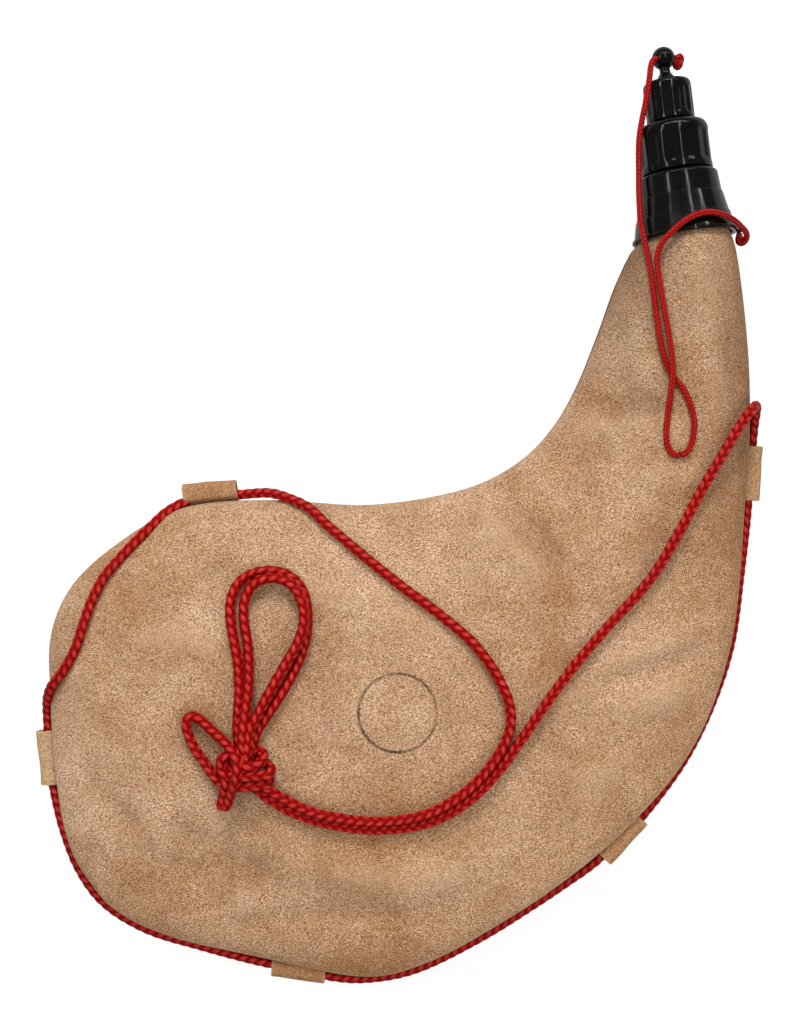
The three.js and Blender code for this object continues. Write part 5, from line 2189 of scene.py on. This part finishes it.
@dataclass
class Nozzle:
    """The plastic collar with its threaded neck, the drinking nozzle, the stopper and their washers."""

    bush_thread: Thread = Thread(root=13.6, crest=14.7, start=36.0)
    spout_thread: Thread = Thread(root=5.9, crest=6.8, start=61.2)
    nozzle_radius: float = 17.7
    nozzle_foot: float = 33.0
    stopper_radius: float = 11.9
    stopper_foot: float = 58.7
    stem_top: float = 85.6
    nozzle_flutes: Flutes = Flutes(count=12, depth=0.7, low=3.6, high=18.6, ease=1.4)
    stopper_flutes: Flutes = Flutes(count=14, depth=0.5, low=2.6, high=15.2, ease=1.2)
    ball_height: float = 90.67
    ball_radius: float = 5.7
    ball_hole: float = 1.9
    ball_drill: Point = (-0.8, -0.1, 0.59)
    eye_reach: float = 27.7
    eye_height: float = 1.2
    eye_radius: float = 2.9
    eye_hole: float = 1.75

    def build(self, plastic: BlackPlastic, rubber: SealRubber) -> None:
        """Turns every piece.

        Args:
            plastic: The moulding's finish.
            rubber: The washers' finish.
        """
        black, grey = plastic.material(), rubber.material()
        place_piece(self._bush(), Body.SKIN, Slot.BLACK_PLASTIC, black, "neck_bush")
        place_piece(self._collar(), Body.SKIN, Slot.BLACK_PLASTIC, black, "collar")
        place_piece(self._gasket(), Body.NOZZLE_WASHER, Slot.SEAL_RUBBER, grey, "nozzle_gasket")
        place_piece(self._nozzle(), Body.NOZZLE_CAP, Slot.BLACK_PLASTIC, black, "nozzle")
        place_piece(self._seal(), Body.STOPPER_WASHER, Slot.SEAL_RUBBER, grey, "stopper_seal")
        place_piece(self._stopper(), Body.STOPPER_CAP, Slot.BLACK_PLASTIC, black, "stopper")

    def _bush(self) -> Object:
        """Turns the hard neck inside the collar, with its thread.

        Returns:
            The neck.
        """
        profile = [
            (20.5, -4.0, 0.4), (15.6, 20.0, 0.6), (17.5, 21.6, 0.3), (17.5, 28.7, 0.3), (13.6, 28.7, 0.3),
            (13.6, 46.0, 0.4), (11.5, 46.0, 0.4), (11.5, 28.7, 1.0), (13.8, 20.0, 1.0), (18.7, -4.0, 0.4),
        ]
        bush = Lathe.turn("neck_bush_moulding", Lathe.rounded(profile, True), True)
        MeshBench.cut(bush, Lathe.ridge("bush_ridge", self.bush_thread), Cut.JOIN)
        MeshBench.shade(bush, 35)
        return bush

    def _collar(self) -> Object:
        """Turns the stepped collar with its rim and the eye for the tether.

        Returns:
            The collar.
        """
        profile = [
            (26.3, 0.0, 0.5), (26.3, 1.6, 0.6), (25.2, 1.75, 0.25), (23.4, 10.4, 0.14), (22.95, 10.6, 0.14),
            (20.95, 20.5, 0.14), (20.5, 20.7, 0.14), (19.5, 32.0, 2.4), (15.1, 32.0, 0.3), (15.1, 29.0, 0.2),
            (17.9, 29.0, 0.2), (17.9, 20.3, 0.2), (19.2, 20.3, 0.2), (23.45, 0.0, 0.3),
        ]
        collar = Lathe.turn("collar_moulding", Lathe.rounded(profile, True), True, 144)
        MeshBench.cut(collar, self._rod("eye_lug", self.eye_radius, 2.4, True), Cut.JOIN)
        MeshBench.cut(collar, self._rod("eye_hole", self.eye_hole, 8.0, False), Cut.TAKE)
        MeshBench.shade(collar, 32)
        return collar

    def _rod(self, name: str, radius: float, length: float, softened: bool) -> Object:
        """Makes a short round rod at the eye, to add to the collar or to drill it.

        Args:
            name: The rod's name.
            radius: Its radius.
            length: Its length.
            softened: Whether its rims are rounded.

        Returns:
            The rod.
        """
        MeshBench.clear()
        x, y, z = Lathe.at(self.eye_height)
        bpy.ops.mesh.primitive_cylinder_add(
            vertices=40, radius=radius * MM, depth=length * MM,
            location=(x + self.eye_reach * MM, y, z), rotation=(math.pi / 2, 0.0, 0.0),
        )
        rod = bpy.context.object
        rod.name = name
        MeshBench.settle(rod)
        if softened:
            rim = rod.modifiers.new("rim", "BEVEL")
            rim.width, rim.segments = 0.5 * MM, 3
            rim.limit_method, rim.angle_limit = "ANGLE", math.radians(60)
            MeshBench.apply(rod)
        return rod

    def _gasket(self) -> Object:
        """Turns the washer between the neck and the nozzle.

        Returns:
            The washer.
        """
        profile = [(13.75, 46.3, 0.35), (13.75, 47.7, 0.35), (11.85, 47.7, 0.35), (11.85, 46.3, 0.35)]
        gasket = Lathe.turn("gasket_ring", Lathe.rounded(profile, True), True, 72)
        MeshBench.shade(gasket, 50)
        return gasket

    def _nozzle(self) -> Object:
        """Turns the wide fluted cap with the drinking spout.

        Returns:
            The nozzle.
        """
        wide, foot = self.nozzle_radius, self.nozzle_foot
        profile = [
            (wide, foot, 0.6), (wide, 58.0, 6.0), (5.9, 58.0, 0.7), (5.9, 73.0, 0.6), (1.3, 73.0, 0.4),
            (1.3, 69.0, 0.0), (4.0, 65.0, 0.0), (4.0, 56.0, 0.0), (9.0, 48.0, 0.0), (15.05, 48.0, 0.3),
            (15.05, foot, 0.4),
        ]
        rings = Lathe.filled(Lathe.rounded(profile, True), foot, 55.0, 0.6)
        nozzle = Lathe.turn("nozzle_moulding", rings, True, 200)
        Lathe.flute(nozzle, wide, foot, self.nozzle_flutes)
        MeshBench.cut(nozzle, Lathe.ridge("spout_ridge", self.spout_thread), Cut.JOIN)
        MeshBench.shade(nozzle, 35)
        return nozzle

    def _seal(self) -> Object:
        """Turns the disc between the spout and the stopper.

        Returns:
            The disc.
        """
        profile = [(0.0, 73.3, 0.0), (6.0, 73.3, 0.4), (6.0, 74.9, 0.4), (0.0, 74.9, 0.0)]
        seal = Lathe.turn("seal_disc", Lathe.rounded(profile, False), False, 64)
        MeshBench.shade(seal, 50)
        return seal

    def _stopper(self) -> Object:
        """Turns the small fluted cap with its flared stem and drilled ball.

        Returns:
            The stopper.
        """
        wide, foot = self.stopper_radius, self.stopper_foot
        profile = [
            (0.0, 75.2, 0.0), (7.2, 75.2, 0.4), (7.2, foot, 0.3), (wide, foot, 0.5), (wide, 79.0, 4.6),
            (5.6, 79.0, 1.6), (2.6, 83.2, 1.8), (2.6, 85.4, 0.0),
        ]
        rings = Lathe.filled(Lathe.rounded(profile, False), 58.0, 78.0, 0.55)
        low = math.acos(-(self.stem_top - self.ball_height) / self.ball_radius)
        rings += [
            (self.ball_radius * math.sin(a), self.ball_height - self.ball_radius * math.cos(a))
            for a in np.linspace(low, math.pi, 22)
        ]
        stopper = Lathe.turn("stopper_moulding", rings, False, 168)
        Lathe.flute(stopper, wide, foot, self.stopper_flutes)
        MeshBench.clear()
        bpy.ops.mesh.primitive_cylinder_add(
            vertices=32, radius=self.ball_hole * MM, depth=20 * MM,
            location=Lathe.at(self.ball_height),
            rotation=Vector(self.ball_drill).to_track_quat("Z", "Y").to_euler(),
        )
        drill = bpy.context.object
        MeshBench.settle(drill)
        MeshBench.cut(stopper, drill, Cut.TAKE)
        MeshBench.shade(stopper, 35)
        return stopper


def main() -> None:
    """Builds the studio and every piece in order."""
    logging.basicConfig(level=logging.INFO, format="%(message)s")
    Studio().build()
    form = SkinForm()
    CarryingCord().build(form, RedBraid("strap_yarn"))
    Tether(form).build(RedBraid("tether_yarn", fibre_scale=3600.0))
    face, under = Suede("suede_face", worn_ring=True), Suede("suede_underside")
    Skin(form).build(face, under, Latex(), SewingThread())
    strip = Suede(
        "suede_strip",
        tan=(214, 168, 124),
        deep_tan=(194, 137, 86),
        nap_scale=1500.0,
        contrast=0.5,
        clouds=0.5,
    )
    EdgeLoops(form).build(strip)
    Nozzle().build(BlackPlastic(), SealRubber())


if __name__ == "__main__":
    main()
